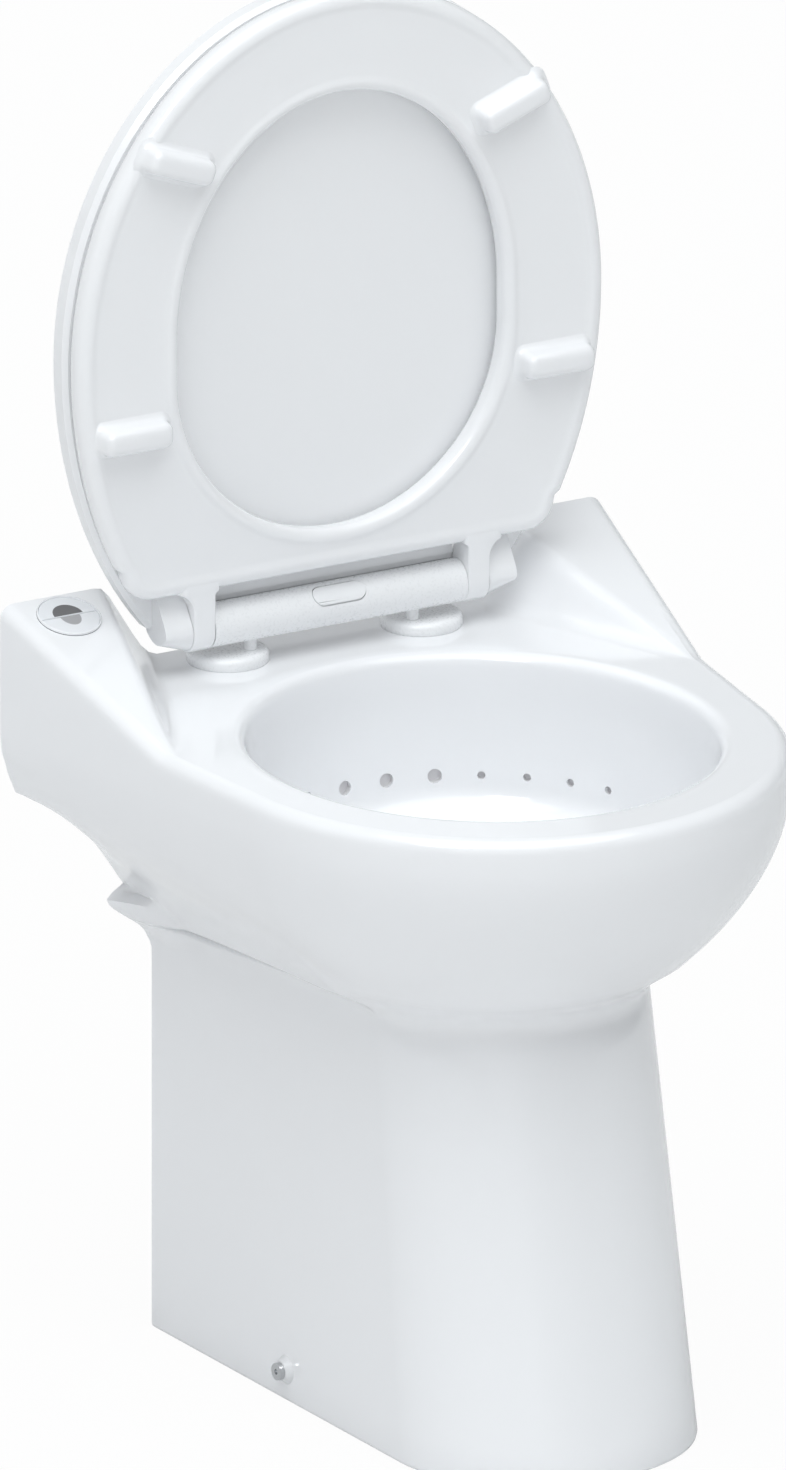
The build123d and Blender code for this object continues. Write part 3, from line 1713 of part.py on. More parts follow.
stator_bottom = casing_bottom + stator_rise
with BuildPart() as motor_stator:
    add(
        tube(
            0,
            tank_y,
            stator_bottom,
            stator_bottom + stator_length,
            motor_diameter - 4 * motor_wall - 2 * fit_clearance,
            stator_bore,
        )
    )
motor_stator.part.label = "motor_stator"
export_step(motor_stator.part, "parts/motor_stator.step")

rotor_bottom = stator_bottom + (stator_length - rotor_length) / 2
shaft_hole = shaft_diameter + 2 * fit_clearance
with BuildPart() as motor_rotor:
    add(tube(0, tank_y, rotor_bottom, rotor_bottom + rotor_length, rotor_diameter, shaft_hole))
motor_rotor.part.label = "motor_rotor"
export_step(motor_rotor.part, "parts/motor_rotor.step")

with BuildPart() as motor_shaft:
    add(tube(0, tank_y, shaft_bottom_height, shaft_top_height, shaft_diameter, 0))
motor_shaft.part.label = "motor_shaft"
export_step(motor_shaft.part, "parts/motor_shaft.step")

blade_bottom = basket_bottom_height + basket_wall + blade_above_floor
with BuildPart() as grinder_blade:
    add(tube(0, tank_y, blade_bottom, blade_bottom + blade_hub_height, blade_hub, 0))
    blade_plane = Plane(origin=(0, tank_y, 0))
    add(slab(blade_plane, blade_bottom, blade_bottom + blade_thickness, blade_length, blade_width, 0))
    for side in sides:
        tip_plane = Plane(origin=(side * (blade_length / 2 - blade_thickness / 2), tank_y, 0))
        add(
            slab(
                tip_plane,
                blade_bottom,
                blade_bottom + blade_tip_height,
                blade_thickness,
                blade_width,
                0,
            )
        )
    add(tube(0, tank_y, blade_bottom, blade_bottom + blade_hub_height, shaft_hole, 0), mode=Mode.SUBTRACT)
grinder_blade.part.label = "grinder_blade"
export_step(grinder_blade.part, "parts/grinder_blade.step")

with BuildPart() as pump_impeller:
    add(
        tube(
            0,
            tank_y,
            impeller_bottom_height,
            impeller_bottom_height + impeller_disc,
            impeller_diameter,
            0,
        )
    )
    add(
        tube(
            0,
            tank_y,
            impeller_bottom_height,
            impeller_bottom_height + impeller_disc + impeller_vane_height,
            impeller_hub,
            0,
        )
    )
    vane_middle = (impeller_hub + impeller_diameter) / 4
    vane_run = impeller_diameter / 2 - impeller_hub / 4
    with BuildSketch(Plane(origin=(0, tank_y, impeller_bottom_height + impeller_disc))):
        with PolarLocations(vane_middle, impeller_vane_count):
            Rectangle(vane_run - impeller_hub / 4, impeller_vane_thickness, rotation=35)
    extrude(amount=impeller_vane_height)
    add(
        tube(
            0,
            tank_y,
            impeller_bottom_height,
            impeller_bottom_height + impeller_disc + impeller_vane_height,
            impeller_diameter,
            0,
        ),
        mode=Mode.INTERSECT,
    )
    add(tube(0, tank_y, impeller_bottom_height, volute_top_height, shaft_hole, 0), mode=Mode.SUBTRACT)
pump_impeller.part.label = "pump_impeller"
export_step(pump_impeller.part, "parts/pump_impeller.step")

# Level sensing, vent, capacitor and electrics
with BuildPart() as pressure_bell:
    add(
        tube(
            -switch_half, switch_y, bell_bottom_height, gasket_top, bell_diameter, bell_diameter - 2 * bell_wall
        )
    )
pressure_bell.part.label = "pressure_bell"
export_step(pressure_bell.part, "parts/pressure_bell.step")

with BuildPart() as pressure_switch:
    add(
        tube(-switch_half, switch_y, cover_top, cover_top + pressure_switch_height, pressure_switch_diameter, 0)
    )
    chamfer(pressure_switch.edges().group_by(Axis.Z)[-1], pressure_switch_rounding)
pressure_switch.part.label = "pressure_switch"
export_step(pressure_switch.part, "parts/pressure_switch.step")

with BuildPart() as vent_filter:
    add(tube(-vent_half, rear - vent_from_wall, cover_top, cover_top + vent_height, vent_diameter, 0))
    chamfer(vent_filter.edges().group_by(Axis.Z)[-1], vent_rounding)
vent_filter.part.label = "vent_filter"
export_step(vent_filter.part, "parts/vent_filter.step")

with BuildPart() as motor_capacitor:
    add(
        tube(
            capacitor_half,
            rear - capacitor_from_wall,
            cover_top,
            cover_top + capacitor_height,
            capacitor_diameter,
            0,
        )
    )
    chamfer(motor_capacitor.edges().group_by(Axis.Z)[-1], capacitor_rounding)
motor_capacitor.part.label = "motor_capacitor"
export_step(motor_capacitor.part, "parts/motor_capacitor.step")

box_y = rear - box_from_wall - box_length / 2
box_plane = Plane(origin=(0, box_y, 0))
box_top = cap_top + box_height
with BuildPart() as control_box:
    add(slab(box_plane, cap_top, box_top, box_width, box_length, 2 * box_rounding))
    chamfer(control_box.edges().group_by(Axis.Z)[-1], box_rounding)
control_box.part.label = "control_box"
export_step(control_box.part, "parts/control_box.step")

gland_x = box_width / 2 - gland_inset
gland_z = cap_top + box_height / 2
box_rear = rear - box_from_wall
with BuildPart() as cable_gland:
    add(depth_tube(gland_x, gland_z, box_rear + gland_length, box_rear, gland_diameter, gland_bore))
    add(depth_tube(gland_x, gland_z, box_rear + gland_nut_length, box_rear, gland_nut_diameter, gland_bore))
cable_gland.part.label = "cable_gland"
export_step(cable_gland.part, "parts/cable_gland.step")

# Rinse water: valve, coil, bracket, hose and the inlet below the duct
solenoid_y = rear - solenoid_from_wall
solenoid_front = solenoid_y - solenoid_body / 2
solenoid_rear = solenoid_y + solenoid_body / 2
solenoid_plane = Plane(origin=(-solenoid_half, solenoid_y, 0))
solenoid_top = solenoid_height + solenoid_body / 2
barb_end = solenoid_front - barb_length
with BuildPart() as solenoid_valve:
    add(
        slab(
            solenoid_plane,
            solenoid_height - solenoid_body / 2,
            solenoid_top,
            solenoid_body,
            solenoid_body,
            0,
        )
    )
    add(
        depth_tube(
            -solenoid_half,
            solenoid_height,
            rear - water_inlet_from_wall,
            solenoid_rear,
            water_inlet_diameter,
            0,
        )
    )
    add(depth_tube(-solenoid_half, solenoid_height, solenoid_front, barb_end, hose_bore - 2 * fit_clearance, 0))
    add(
        depth_tube(
            -solenoid_half,
            solenoid_height,
            rear - water_inlet_from_wall,
            solenoid_rear,
            water_inlet_bore,
            0,
        ),
        mode=Mode.SUBTRACT,
    )
    add(
        depth_tube(-solenoid_half, solenoid_height, solenoid_front, barb_end, barb_bore, 0),
        mode=Mode.SUBTRACT,
    )
solenoid_valve.part.label = "solenoid_valve"
export_step(solenoid_valve.part, "parts/solenoid_valve.step")

with BuildPart() as solenoid_coil:
    add(
        tube(-solenoid_half, solenoid_y, solenoid_top, solenoid_top + coil_height, coil_diameter, 0)
    )
    add(
        tube(
            -solenoid_half,
            solenoid_y,
            solenoid_top + coil_height,
            solenoid_top + coil_height + coil_core_height,
            coil_core_diameter,
            0,
        )
    )
solenoid_coil.part.label = "solenoid_coil"
export_step(solenoid_coil.part, "parts/solenoid_coil.step")

plate_x = -solenoid_half - solenoid_body / 2 - bracket_plate / 2
plate_plane = Plane(origin=(plate_x, solenoid_y, 0))
foot_plane = Plane(origin=(plate_x - bracket_plate / 2, solenoid_y - bracket_plate_width / 2, 0))
with BuildPart() as solenoid_bracket:
    add(slab(plate_plane, cover_top, solenoid_top, bracket_plate, bracket_plate_width, 0))
solenoid_bracket.part.label = "solenoid_bracket"
export_step(solenoid_bracket.part, "parts/solenoid_bracket.step")

hose_top = duct_bottom - hose_top_gap
with BuildPart() as rinse_hose:
    add(
        bent_tube(
            Vector(-solenoid_half, solenoid_front - bracket_plate, solenoid_height),
            Vector(-solenoid_half, rinse_y, solenoid_height),
            Vector(-solenoid_half, rinse_y, hose_top),
            hose_bend,
            hose_bore + 2 * hose_wall,
            hose_bore,
            (1, 0, 0),
        )
    )
rinse_hose.part.label = "rinse_hose"
export_step(rinse_hose.part, "parts/rinse_hose.step")

with BuildPart() as rinse_inlet:
    add(
        tube(
            -solenoid_half,
            rinse_y,
            duct_bottom - rinse_inlet_length + duct_wall,
            duct_bottom + duct_wall,
            hose_bore - 2 * fit_clearance,
            barb_bore,
        )
    )
rinse_inlet.part.label = "rinse_inlet"
export_step(rinse_inlet.part, "parts/rinse_inlet.step")
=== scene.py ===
"""Looks of the macerating toilet: glazed shell, seat and lid, bar hinge, flush button, fixings and pump unit.

Lengths in the classes are in millimetres, in the frame of the solids: +Z up, wall at +Y, front at -Y.
"""

import json
import logging
import math
from collections.abc import Callable, Sequence
from dataclasses import dataclass
from enum import Enum

import bmesh
import bpy
from mathutils import Matrix, Vector


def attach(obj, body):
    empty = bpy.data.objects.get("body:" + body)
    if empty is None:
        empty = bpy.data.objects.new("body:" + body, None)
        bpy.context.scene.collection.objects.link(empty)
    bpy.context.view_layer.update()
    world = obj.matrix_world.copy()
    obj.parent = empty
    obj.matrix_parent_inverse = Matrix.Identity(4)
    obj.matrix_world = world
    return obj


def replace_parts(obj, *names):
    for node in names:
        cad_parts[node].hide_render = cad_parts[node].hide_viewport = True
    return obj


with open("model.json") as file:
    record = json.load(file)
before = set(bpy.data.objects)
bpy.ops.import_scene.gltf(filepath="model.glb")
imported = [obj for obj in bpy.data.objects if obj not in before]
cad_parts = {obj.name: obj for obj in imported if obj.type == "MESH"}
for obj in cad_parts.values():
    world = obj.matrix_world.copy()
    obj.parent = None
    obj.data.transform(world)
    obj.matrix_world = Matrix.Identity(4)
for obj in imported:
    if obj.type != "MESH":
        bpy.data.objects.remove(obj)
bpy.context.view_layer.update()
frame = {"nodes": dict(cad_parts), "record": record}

Pair = tuple[float, float]
Triple = tuple[float, float, float]

MM = 0.001
QUARTER = math.pi / 2
TURN = 2 * math.pi
# The plane of the wall, the height of the rim, and the hinge's axis.
REAR = 215.5
RIM = 434.0
AXIS_Y = 176.6
AXIS_Z = 462.0
# Half the pan's width at the wall, and how steeply the shoulders fall from there.
WALL_HALF = 211.0
SLOPE = 0.30363
report = logging.getLogger("toilet")


def place(x: float, y: float, z: float) -> Vector:
    """A point given in millimetres."""
    return Vector((x * MM, y * MM, z * MM))


def smooth_share(value: float) -> float:
    """A share from 0 to 1 that starts and ends gently."""
    share = min(max(value, 0.0), 1.0)
    return share * share * (3 - 2 * share)


def sweep(start: float, span: float, steps: int) -> list[float]:
    """Even steps over a span, with both of its ends."""
    return [start + span * step / steps for step in range(steps + 1)]


def quarter(steps: int, first: int = 0) -> list[Pair]:
    """Sine and cosine at even steps over a quarter turn."""
    turns = [step / steps * QUARTER for step in range(first, steps + 1)]
    return [(math.sin(turn), math.cos(turn)) for turn in turns]


def arc(middle: Pair, reach: Pair, turns: Sequence[float]) -> list[Pair]:
    """Points of an ellipse at the turns given in radians."""
    return [(middle[0] + reach[0] * math.cos(turn), middle[1] + reach[1] * math.sin(turn)) for turn in turns]


def stand(name: str, data: bpy.types.ID) -> bpy.types.Object:
    """Make an object of its data and link it to the scene."""
    made = bpy.data.objects.new(name, data)
    bpy.context.scene.collection.objects.link(made)
    return made


def fill(node: bpy.types.Node, **values: object) -> bpy.types.Node:
    """Set inputs of a shader node.

    Args:
        node: the node.
        values: values of its inputs, with _ for a space in an input's name.

    Returns:
        The node.
    """
    for name, value in values.items():
        node.inputs[name.replace("_", " ")].default_value = value
    return node


def add_node(tree: bpy.types.NodeTree, kind: str, **values: object) -> bpy.types.Node:
    """Add a shader node, named without the start that all of them share, and set its inputs."""
    return fill(tree.nodes.new("ShaderNode" + kind), **values)


def wire(tree: bpy.types.NodeTree, links: Sequence[tuple]) -> None:
    """Link nodes: each row holds a node, its output, the next node and the input there."""
    for source, output, target, entry in links:
        tree.links.new(source.outputs[output], target.inputs[entry])


def soft_lower(first: float, second: float, blend: float) -> float:
    """The lower of two heights, with a rounded change over between them.

    Args:
        first: one height.
        second: the other height.
        blend: width of the change over.

    Returns:
        The blended height.
    """
    share = min(max(0.5 + 0.5 * (second - first) / blend, 0.0), 1.0)
    return second + (first - second) * share - blend * share * (1 - share)


def curve_through(rows: Sequence[Sequence[float]], at: float) -> list[float]:
    """A smooth curve through rows whose first number is the place.

    Args:
        rows: rows of numbers, sorted by their first one.
        at: the place wanted.

    Returns:
        The other numbers of the row at that place.
    """
    at = min(max(at, rows[0][0]), rows[-1][0])
    index = 0
    while index < len(rows) - 2 and rows[index + 1][0] < at:
        index += 1
    low, high = rows[index], rows[index + 1]
    before = rows[max(index - 1, 0)]
    after = rows[min(index + 2, len(rows) - 1)]
    span = high[0] - low[0]
    share = (at - low[0]) / span
    values = []
    for column in range(1, len(low)):
        slope_low = (high[column] - before[column]) / (high[0] - before[0]) * span
        slope_high = (after[column] - low[column]) / (after[0] - low[0]) * span
        values.append(
            (2 * share**3 - 3 * share**2 + 1) * low[column]
            + (share**3 - 2 * share**2 + share) * slope_low
            + (3 * share**2 - 2 * share**3) * high[column]
            + (share**3 - share**2) * slope_high
        )
    return values


class Body(Enum):
    """The moving bodies that pieces ride on."""

    PAN = "pan"
    LID = "lid"
    SEAT = "seat"
    FULL_FLUSH = "full_flush"
    HALF_FLUSH = "half_flush"
    RELEASE = "release"


class Surface(Enum):
    """Kinds of surface relief that a finish may have."""

    GLAZE = "glaze"
    MOULDED = "moulded"
    BRUSHED = "brushed"
    LAYERED = "layered"
    CAST = "cast"


@dataclass(frozen=True)
class Relief:
    """A shader node group that gives colour variation, roughness and height for one kind of surface."""

    surface: Surface

    def group(self) -> bpy.types.NodeTree:
        """Build the group once.

        Returns:
            The group.
        """
        name = "relief_" + self.surface.value
        if name in bpy.data.node_groups:
            return bpy.data.node_groups[name]
        tree = bpy.data.node_groups.new(name, "ShaderNodeTree")
        for way, kind, labels in (
            ("INPUT", "Color", ("Tone", "Shade")),
            ("INPUT", "Float", ("Smooth", "Rough", "Scale")),
            ("OUTPUT", "Color", ("Color",)),
            ("OUTPUT", "Float", ("Roughness", "Height")),
        ):
            for label in labels:
                tree.interface.new_socket(label, in_out=way, socket_type="NodeSocket" + kind)
        source = tree.nodes.new("NodeGroupInput")
        result = tree.nodes.new("NodeGroupOutput")
        spot = add_node(tree, "TexCoord")
        stretch = add_node(tree, "Mapping", Scale=self.stretch())
        broad = add_node(tree, "TexNoise", Detail=3.0, Scale=7.0)
        fine = add_node(tree, "TexNoise", Detail=4.0)
        tint = add_node(tree, "Mix")
        tint.data_type = "RGBA"
        gloss = add_node(tree, "MapRange")
        height = add_node(tree, "Math")
        height.operation = "ADD"
        links = (
            (spot, "Object", stretch, "Vector"),
            (spot, "Object", broad, "Vector"),
            (stretch, "Vector", fine, "Vector"),
            (source, "Scale", fine, "Scale"),
            (broad, "Fac", tint, 0),
            (source, "Tone", tint, 6),
            (source, "Shade", tint, 7),
            (tint, 2, result, "Color"),
            (fine, "Fac", gloss, "Value"),
            (source, "Smooth", gloss, "To Min"),
            (source, "Rough", gloss, "To Max"),
            (gloss, "Result", result, "Roughness"),
            (broad, "Fac", height, 1),
            (height, "Value", result, "Height"),
        )
        wire(tree, links)
        tree.links.new(self.pattern(tree, fine, spot), height.inputs[0])
        return tree

    def stretch(self) -> Triple:
        """How far the fine pattern is drawn out along each axis."""
        if self.surface is Surface.BRUSHED:
            return (0.08, 1.0, 1.0)
        return (1.0, 1.0, 1.0)

    def pattern(
        self, tree: bpy.types.NodeTree, fine: bpy.types.Node, spot: bpy.types.Node
    ) -> bpy.types.NodeSocket:
        """Add the pattern that makes this surface what it is.

        Args:
            tree: the group's tree.
            fine: its fine noise.
            spot: its texture coordinates.

        Returns:
            The socket that gives the pattern's height.
        """
        if self.surface is Surface.LAYERED:
            wave = add_node(tree, "TexWave", Scale=320.0)
            wave.bands_direction = "Z"
            wire(tree, [(spot, "Object", wave, "Vector")])
            return wave.outputs["Fac"]
        if self.surface is Surface.CAST:
            pits = add_node(tree, "TexVoronoi", Scale=900.0)
            wire(tree, [(spot, "Object", pits, "Vector")])
            return pits.outputs["Distance"]
        return fine.outputs["Fac"]


@dataclass(frozen=True)
class Finish:
    """One finish: colour, gloss and relief, made into a material of its own."""

    name: str
    tone: Triple
    shade: Triple
    smooth: float = 0.3
    rough: float = 0.42
    surface: Surface = Surface.MOULDED
    scale: float = 1200.0
    depth: float = 0.05
    metallic: float = 0.0
    coat: float = 0.0
    coat_roughness: float = 0.04
    bump: float = 0.25

    def material(self) -> bpy.types.Material:
        """Build the material once.

        Returns:
            The material.
        """
        name = self.name + "_finish"
        if name in bpy.data.materials:
            return bpy.data.materials[name]
        made = bpy.data.materials.new(name)
        made.use_nodes = True
        tree = made.node_tree
        shader = tree.nodes["Principled BSDF"]
        fill(shader, Metallic=self.metallic, Coat_Weight=self.coat, Coat_Roughness=self.coat_roughness)
        relief = add_node(tree, "Group")
        relief.node_tree = Relief(self.surface).group()
        fill(relief, Tone=(*self.tone, 1.0), Shade=(*self.shade, 1.0))
        fill(relief, Smooth=self.smooth, Rough=self.rough, Scale=self.scale)
        bump = add_node(tree, "Bump", Strength=self.bump, Distance=self.depth * MM)
        links = (
            (relief, "Color", shader, "Base Color"),
            (relief, "Roughness", shader, "Roughness"),
            (relief, "Height", bump, "Height"),
            (bump, "Normal", shader, "Normal"),
        )
        wire(tree, links)
        return made


def even(name: str, tone: Triple, **other: object) -> Finish:
    """A finish whose shade is a little darker than its tone."""
    return Finish(name, tone, (tone[0] * 0.97, tone[1] * 0.97, tone[2] * 0.975), **other)


GLAZE = Finish(
    "glazed_ceramic",
    (0.92, 0.928, 0.944),
    (0.91, 0.92, 0.938),
    smooth=0.1,
    rough=0.16,
    surface=Surface.GLAZE,
    scale=160.0,
    coat=0.3,
)
SEAT_PLASTIC = Finish(
    "seat_plastic",
    (0.93, 0.938, 0.95),
    (0.922, 0.93, 0.944),
    smooth=0.16,
    rough=0.22,
    scale=420.0,
    depth=0.03,
    coat=0.3,
)
HINGE_PLASTIC = Finish(
    "hinge_plastic",
    (0.93, 0.94, 0.95),
    (0.92, 0.93, 0.942),
    smooth=0.24,
    rough=0.32,
    scale=600.0,
    depth=0.03,
    coat=0.1,
)
# Near-black painted shadow, laid on the lowest band of the flush button ring for the gap where it meets the ceramic.
PAINTED_SEAM_SHADOW = even("seam_shadow", (0.13, 0.135, 0.145), smooth=0.6, rough=0.8)
# Grey of the jet wells: painted shade for the dark duct behind each jet.
JET_SHADE = even("jet_shade", (0.78, 0.77, 0.78), rough=0.5)
STEEL = {"surface": Surface.BRUSHED, "scale": 900.0, "metallic": 1.0}
CASTING = {"scale": 700.0, "metallic": 0.9}
LISTED = (
    GLAZE,
    SEAT_PLASTIC,
    HINGE_PLASTIC,
    even("bumper_plastic", (0.93, 0.938, 0.95), smooth=0.2, rough=0.3, coat=0.2),
    even("release_plastic", (0.93, 0.94, 0.95), smooth=0.28, rough=0.36),
    even("button_ring", (0.92, 0.93, 0.95), smooth=0.14, rough=0.22, coat=0.3),
    even("button_dark", (0.84, 0.86, 0.885), smooth=0.18, rough=0.26, coat=0.2),
    even("button_light", (0.85, 0.868, 0.892), smooth=0.18, rough=0.26, coat=0.2),
    even("white_plastic", (0.82, 0.83, 0.84)),
    Finish("polished_steel", (0.62, 0.63, 0.64), (0.5, 0.51, 0.52), smooth=0.14, rough=0.26, depth=0.02, **STEEL),
    Finish("steel", (0.52, 0.53, 0.55), (0.4, 0.41, 0.43), smooth=0.26, depth=0.03, **STEEL),
    even("nylon", (0.78, 0.77, 0.73), smooth=0.4, rough=0.55),
    even("rubber", (0.035, 0.035, 0.037), smooth=0.55, rough=0.75, scale=1600.0, depth=0.08),
    even("grey_plastic", (0.3, 0.32, 0.34), smooth=0.38, rough=0.5),
    even("black_plastic", (0.03, 0.031, 0.034), smooth=0.36, rough=0.5),
    Finish(
        "cast_metal",
        (0.56, 0.57, 0.58),
        (0.44, 0.45, 0.46),
        smooth=0.4,
        rough=0.58,
        surface=Surface.CAST,
        depth=0.1,
        **CASTING,
    ),
    Finish(
        "laminated_iron",
        (0.3, 0.3, 0.31),
        (0.2, 0.2, 0.21),
        smooth=0.38,
        rough=0.55,
        surface=Surface.LAYERED,
        depth=0.12,
        **CASTING,
    ),
)
FINISHES: dict[str, Finish] = {item.name: item for item in LISTED}
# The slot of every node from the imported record, and the bodies of softened nodes that aren't on the pan.
SLOTS: dict[str, str] = {item["node"]: item["material_slot"] for item in frame["record"]["subparts"]}
BODIES = {"lid": Body.LID, "release_button": Body.RELEASE}


class Work:
    """A mesh in the making: rings drawn up one after another, lathed forms and curved grids."""

    def __init__(self) -> None:
        """Start with an empty mesh."""
        self.mesh = bmesh.new()

    def ring(self, points: Sequence[Vector]) -> list[bmesh.types.BMVert]:
        """Lay a first ring through the points.

        Args:
            points: the ring's points in order.

        Returns:
            Its vertices in the same order.
        """
        made = bmesh.ops.create_circle(self.mesh, cap_ends=False, segments=len(points), radius=1.0)["verts"]
        for vertex, point in zip(made, points):
            vertex.co = point
        return made

    def rise(self, ring: Sequence[bmesh.types.BMVert], points: Sequence[Vector]) -> list[bmesh.types.BMVert]:
        """Extrude a ring to new points.

        Args:
            ring: the vertices of the last ring in order.
            points: where they go.

        Returns:
            The new ring's vertices in order.
        """
        count = len(ring)
        edges = [self.mesh.edges.get((ring[index], ring[(index + 1) % count])) for index in range(count)]
        made = bmesh.ops.extrude_edge_only(self.mesh, edges=edges)["geom"]
        fresh = {item for item in made if isinstance(item, bmesh.types.BMVert)}
        following = []
        for vertex, point in zip(ring, points):
            partner = next(edge.other_vert(vertex) for edge in vertex.link_edges if edge.other_vert(vertex) in fresh)
            partner.co = point
            following.append(partner)
        return following

    def stack(self, rings: Sequence[Sequence[Vector]], start: bool = True, end: bool = True) -> "Work":
        """Loft rings of equally many points, one after another.

        Args:
            rings: the rings in order.
            start: whether the first ring is closed by a face.
            end: whether the last ring is closed by a face.

        Returns:
            This work.
        """
        first = self.ring(rings[0])
        last = first
        for points in rings[1:]:
            last = self.rise(last, points)
        if start:
            bmesh.ops.contextual_create(self.mesh, geom=first)
        if end:
            bmesh.ops.contextual_create(self.mesh, geom=last)
        return self

    def grid(self, across: int, along: int, shape: Callable[[float, float], Vector]) -> "Work":
        """Lay a grid and move each of its vertices onto a curved face.

        Args:
            across: number of steps for the first share.
            along: number of steps for the second share.
            shape: gives the place for two shares from 0 to 1.

        Returns:
            This work.
        """
        made = bmesh.ops.create_grid(self.mesh, x_segments=across, y_segments=along, size=1.0)["verts"]
        for vertex in made:
            first = round((vertex.co.x + 1) / 2 * across) / across
            second = round((vertex.co.y + 1) / 2 * along) / along
            vertex.co = shape(first, second)
        return self

    def lathe(self, profile: Sequence[Pair], steps: int, matrix: Matrix) -> "Work":
        """Spin a profile of radius and height round its axis.

        Args:
            profile: pairs of radius and height in millimetres.
            steps: number of steps round the axis.
            matrix: where the axis is and how it stands.

        Returns:
            This work.
        """
        chain = [self.mesh.verts.new(place(radius, 0, height)) for radius, height in profile]
        edges = [self.mesh.edges.new(pair) for pair in zip(chain, chain[1:])]
        bmesh.ops.spin(
            self.mesh, geom=chain + edges, cent=(0, 0, 0), axis=(0, 0, 1), angle=TURN, steps=steps, use_merge=True
        )
        bmesh.ops.remove_doubles(self.mesh, verts=self.mesh.verts[:], dist=0.001 * MM)
        bmesh.ops.transform(self.mesh, matrix=matrix, verts=self.mesh.verts[:])
        return self

    def join(self, other: "Work") -> "Work":
        """Take over the faces of another work."""
        made = bpy.data.meshes.new("joined")
        other.tidy().mesh.to_mesh(made)
        other.mesh.free()
        self.mesh.from_mesh(made)
        bpy.data.meshes.remove(made)
        return self

    def tidy(self) -> "Work":
        """Merge doubles and turn all faces outwards."""
        bmesh.ops.remove_doubles(self.mesh, verts=self.mesh.verts[:], dist=0.002 * MM)
        bmesh.ops.recalc_face_normals(self.mesh, faces=self.mesh.faces[:])
        return self

    def piece(self, name: str, finish: Finish, body: Body, sharp: float = 0.9) -> bpy.types.Object:
        """Turn the work into an object with its finish.

        Args:
            name: the object's name.
            finish: what it is made of.
            body: what it moves with.
            sharp: angle in radians past which an edge stays sharp.

        Returns:
            The object.
        """
        mesh = bpy.data.meshes.new(name)
        for edge in self.mesh.edges:
            edge.smooth = len(edge.link_faces) == 2 and edge.calc_face_angle(0.0) < sharp
        for face in self.mesh.faces:
            face.smooth = True
        self.mesh.to_mesh(mesh)
        self.mesh.free()
        mesh.materials.append(finish.material())
        made = stand(name, mesh)
        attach(made, body.value)
        report.info("made %s with %d faces", name, len(mesh.polygons))
        return made


@dataclass(frozen=True)
class Outline:
    """A level outline of the pan: two straight flanks from the back, and an elliptic nose between them."""

    rear_half: float
    rear_y: float
    half: float
    nose_y: float
    nose: float
    flank_share: float = 0.22

    def touch(self) -> float:
        """The angle on the nose at which the right-hand flank touches it, turned round."""
        across = self.rear_half / self.half
        back = (self.rear_y - self.nose_y) / self.nose
        return math.acos(1 / math.hypot(across, back)) - math.atan2(back, across)

    def contact(self) -> Pair:
        """The point at which the right-hand flank touches the nose."""
        touch = self.touch()
        return self.half * math.cos(touch), self.nose_y - self.nose * math.sin(touch)

    def at(self, share: float) -> Pair:
        """A point on the outline, from the left-hand back corner round the nose to the right-hand one.

        Args:
            share: share of the way round.

        Returns:
            Its x and y.
        """
        side = 1.0
        if share < 0.5:
            side = -1.0
            share = 1 - share
        touch_x, touch_y = self.contact()
        if share > 1 - self.flank_share:
            along = (1 - share) / self.flank_share
            x = self.rear_half + along * (touch_x - self.rear_half)
            return side * x, self.rear_y + along * (touch_y - self.rear_y)
        along = (share - 0.5) / (0.5 - self.flank_share)
        turn = -QUARTER + along * (QUARTER - self.touch())
        return side * self.half * math.cos(turn), self.nose_y + self.nose * math.sin(turn)


# How far down the flare, as a share, and how much of its draw the width at the wall has by then.
FLARE_ROWS = (
    (0.0, 0.0), (0.09, 0.001), (0.18, 0.014), (0.27, 0.046), (0.36, 0.108), (0.45, 0.205), (0.54, 0.335),
    (0.66, 0.535), (0.81, 0.77), (0.98, 0.985), (1.13, 1.15), (1.4, 1.42),
)
# Height and half width of the flare's edge at the wall.
WALL_EDGE_ROWS = (
    (255.0, 117.0), (266.0, 116.6), (280.0, 118.0), (290.0, 125.5), (305.0, 135.3), (321.0, 146.7), (334.3, 157.7),
    (343.9, 168.2), (349.3, 177.4), (355.3, 189.3), (359.6, 198.6), (361.1, 200.4), (365.3, 202.0), (373.7, 205.4),
    (381.8, 207.6), (390.1, 210.3), (400.0, 211.0),
)
# Height and half width of the tongue at the wall.
LIP_ROWS = (
    (243.0, 100.0), (247.2, 104.0), (251.3, 106.4), (255.6, 109.5), (260.5, 114.2), (265.6, 121.2), (270.7, 128.2),
    (275.5, 133.8), (279.4, 136.0), (282.6, 135.8), (284.0, 133.4), (284.8, 128.0), (285.4, 119.0), (292.0, 100.0),
    (300.0, 90.0),
)
# Depth in the bowl, width, length and shift towards the outlet, all as shares.
BOWL_ROWS = (
    (0.0, 1.0, 1.0, 0.0), (0.35, 0.968, 0.962, 0.0), (0.41, 0.945, 0.94, 0.0), (0.45, 0.87, 0.88, 0.1),
    (0.5, 0.71, 0.74, 0.3), (0.62, 0.585, 0.595, 0.6), (0.88, 0.35, 0.33, 1.0), (1.0, 0.251, 0.233, 1.0),
)
BOWL_LEVELS = [
    *(0.036 + 0.314 * step / 12 for step in range(1, 13)),
    *(0.35 + 0.2 * step / 18 for step in range(1, 19)),
    *(0.55 + 0.43 * step / 13 for step in range(1, 14)),
]


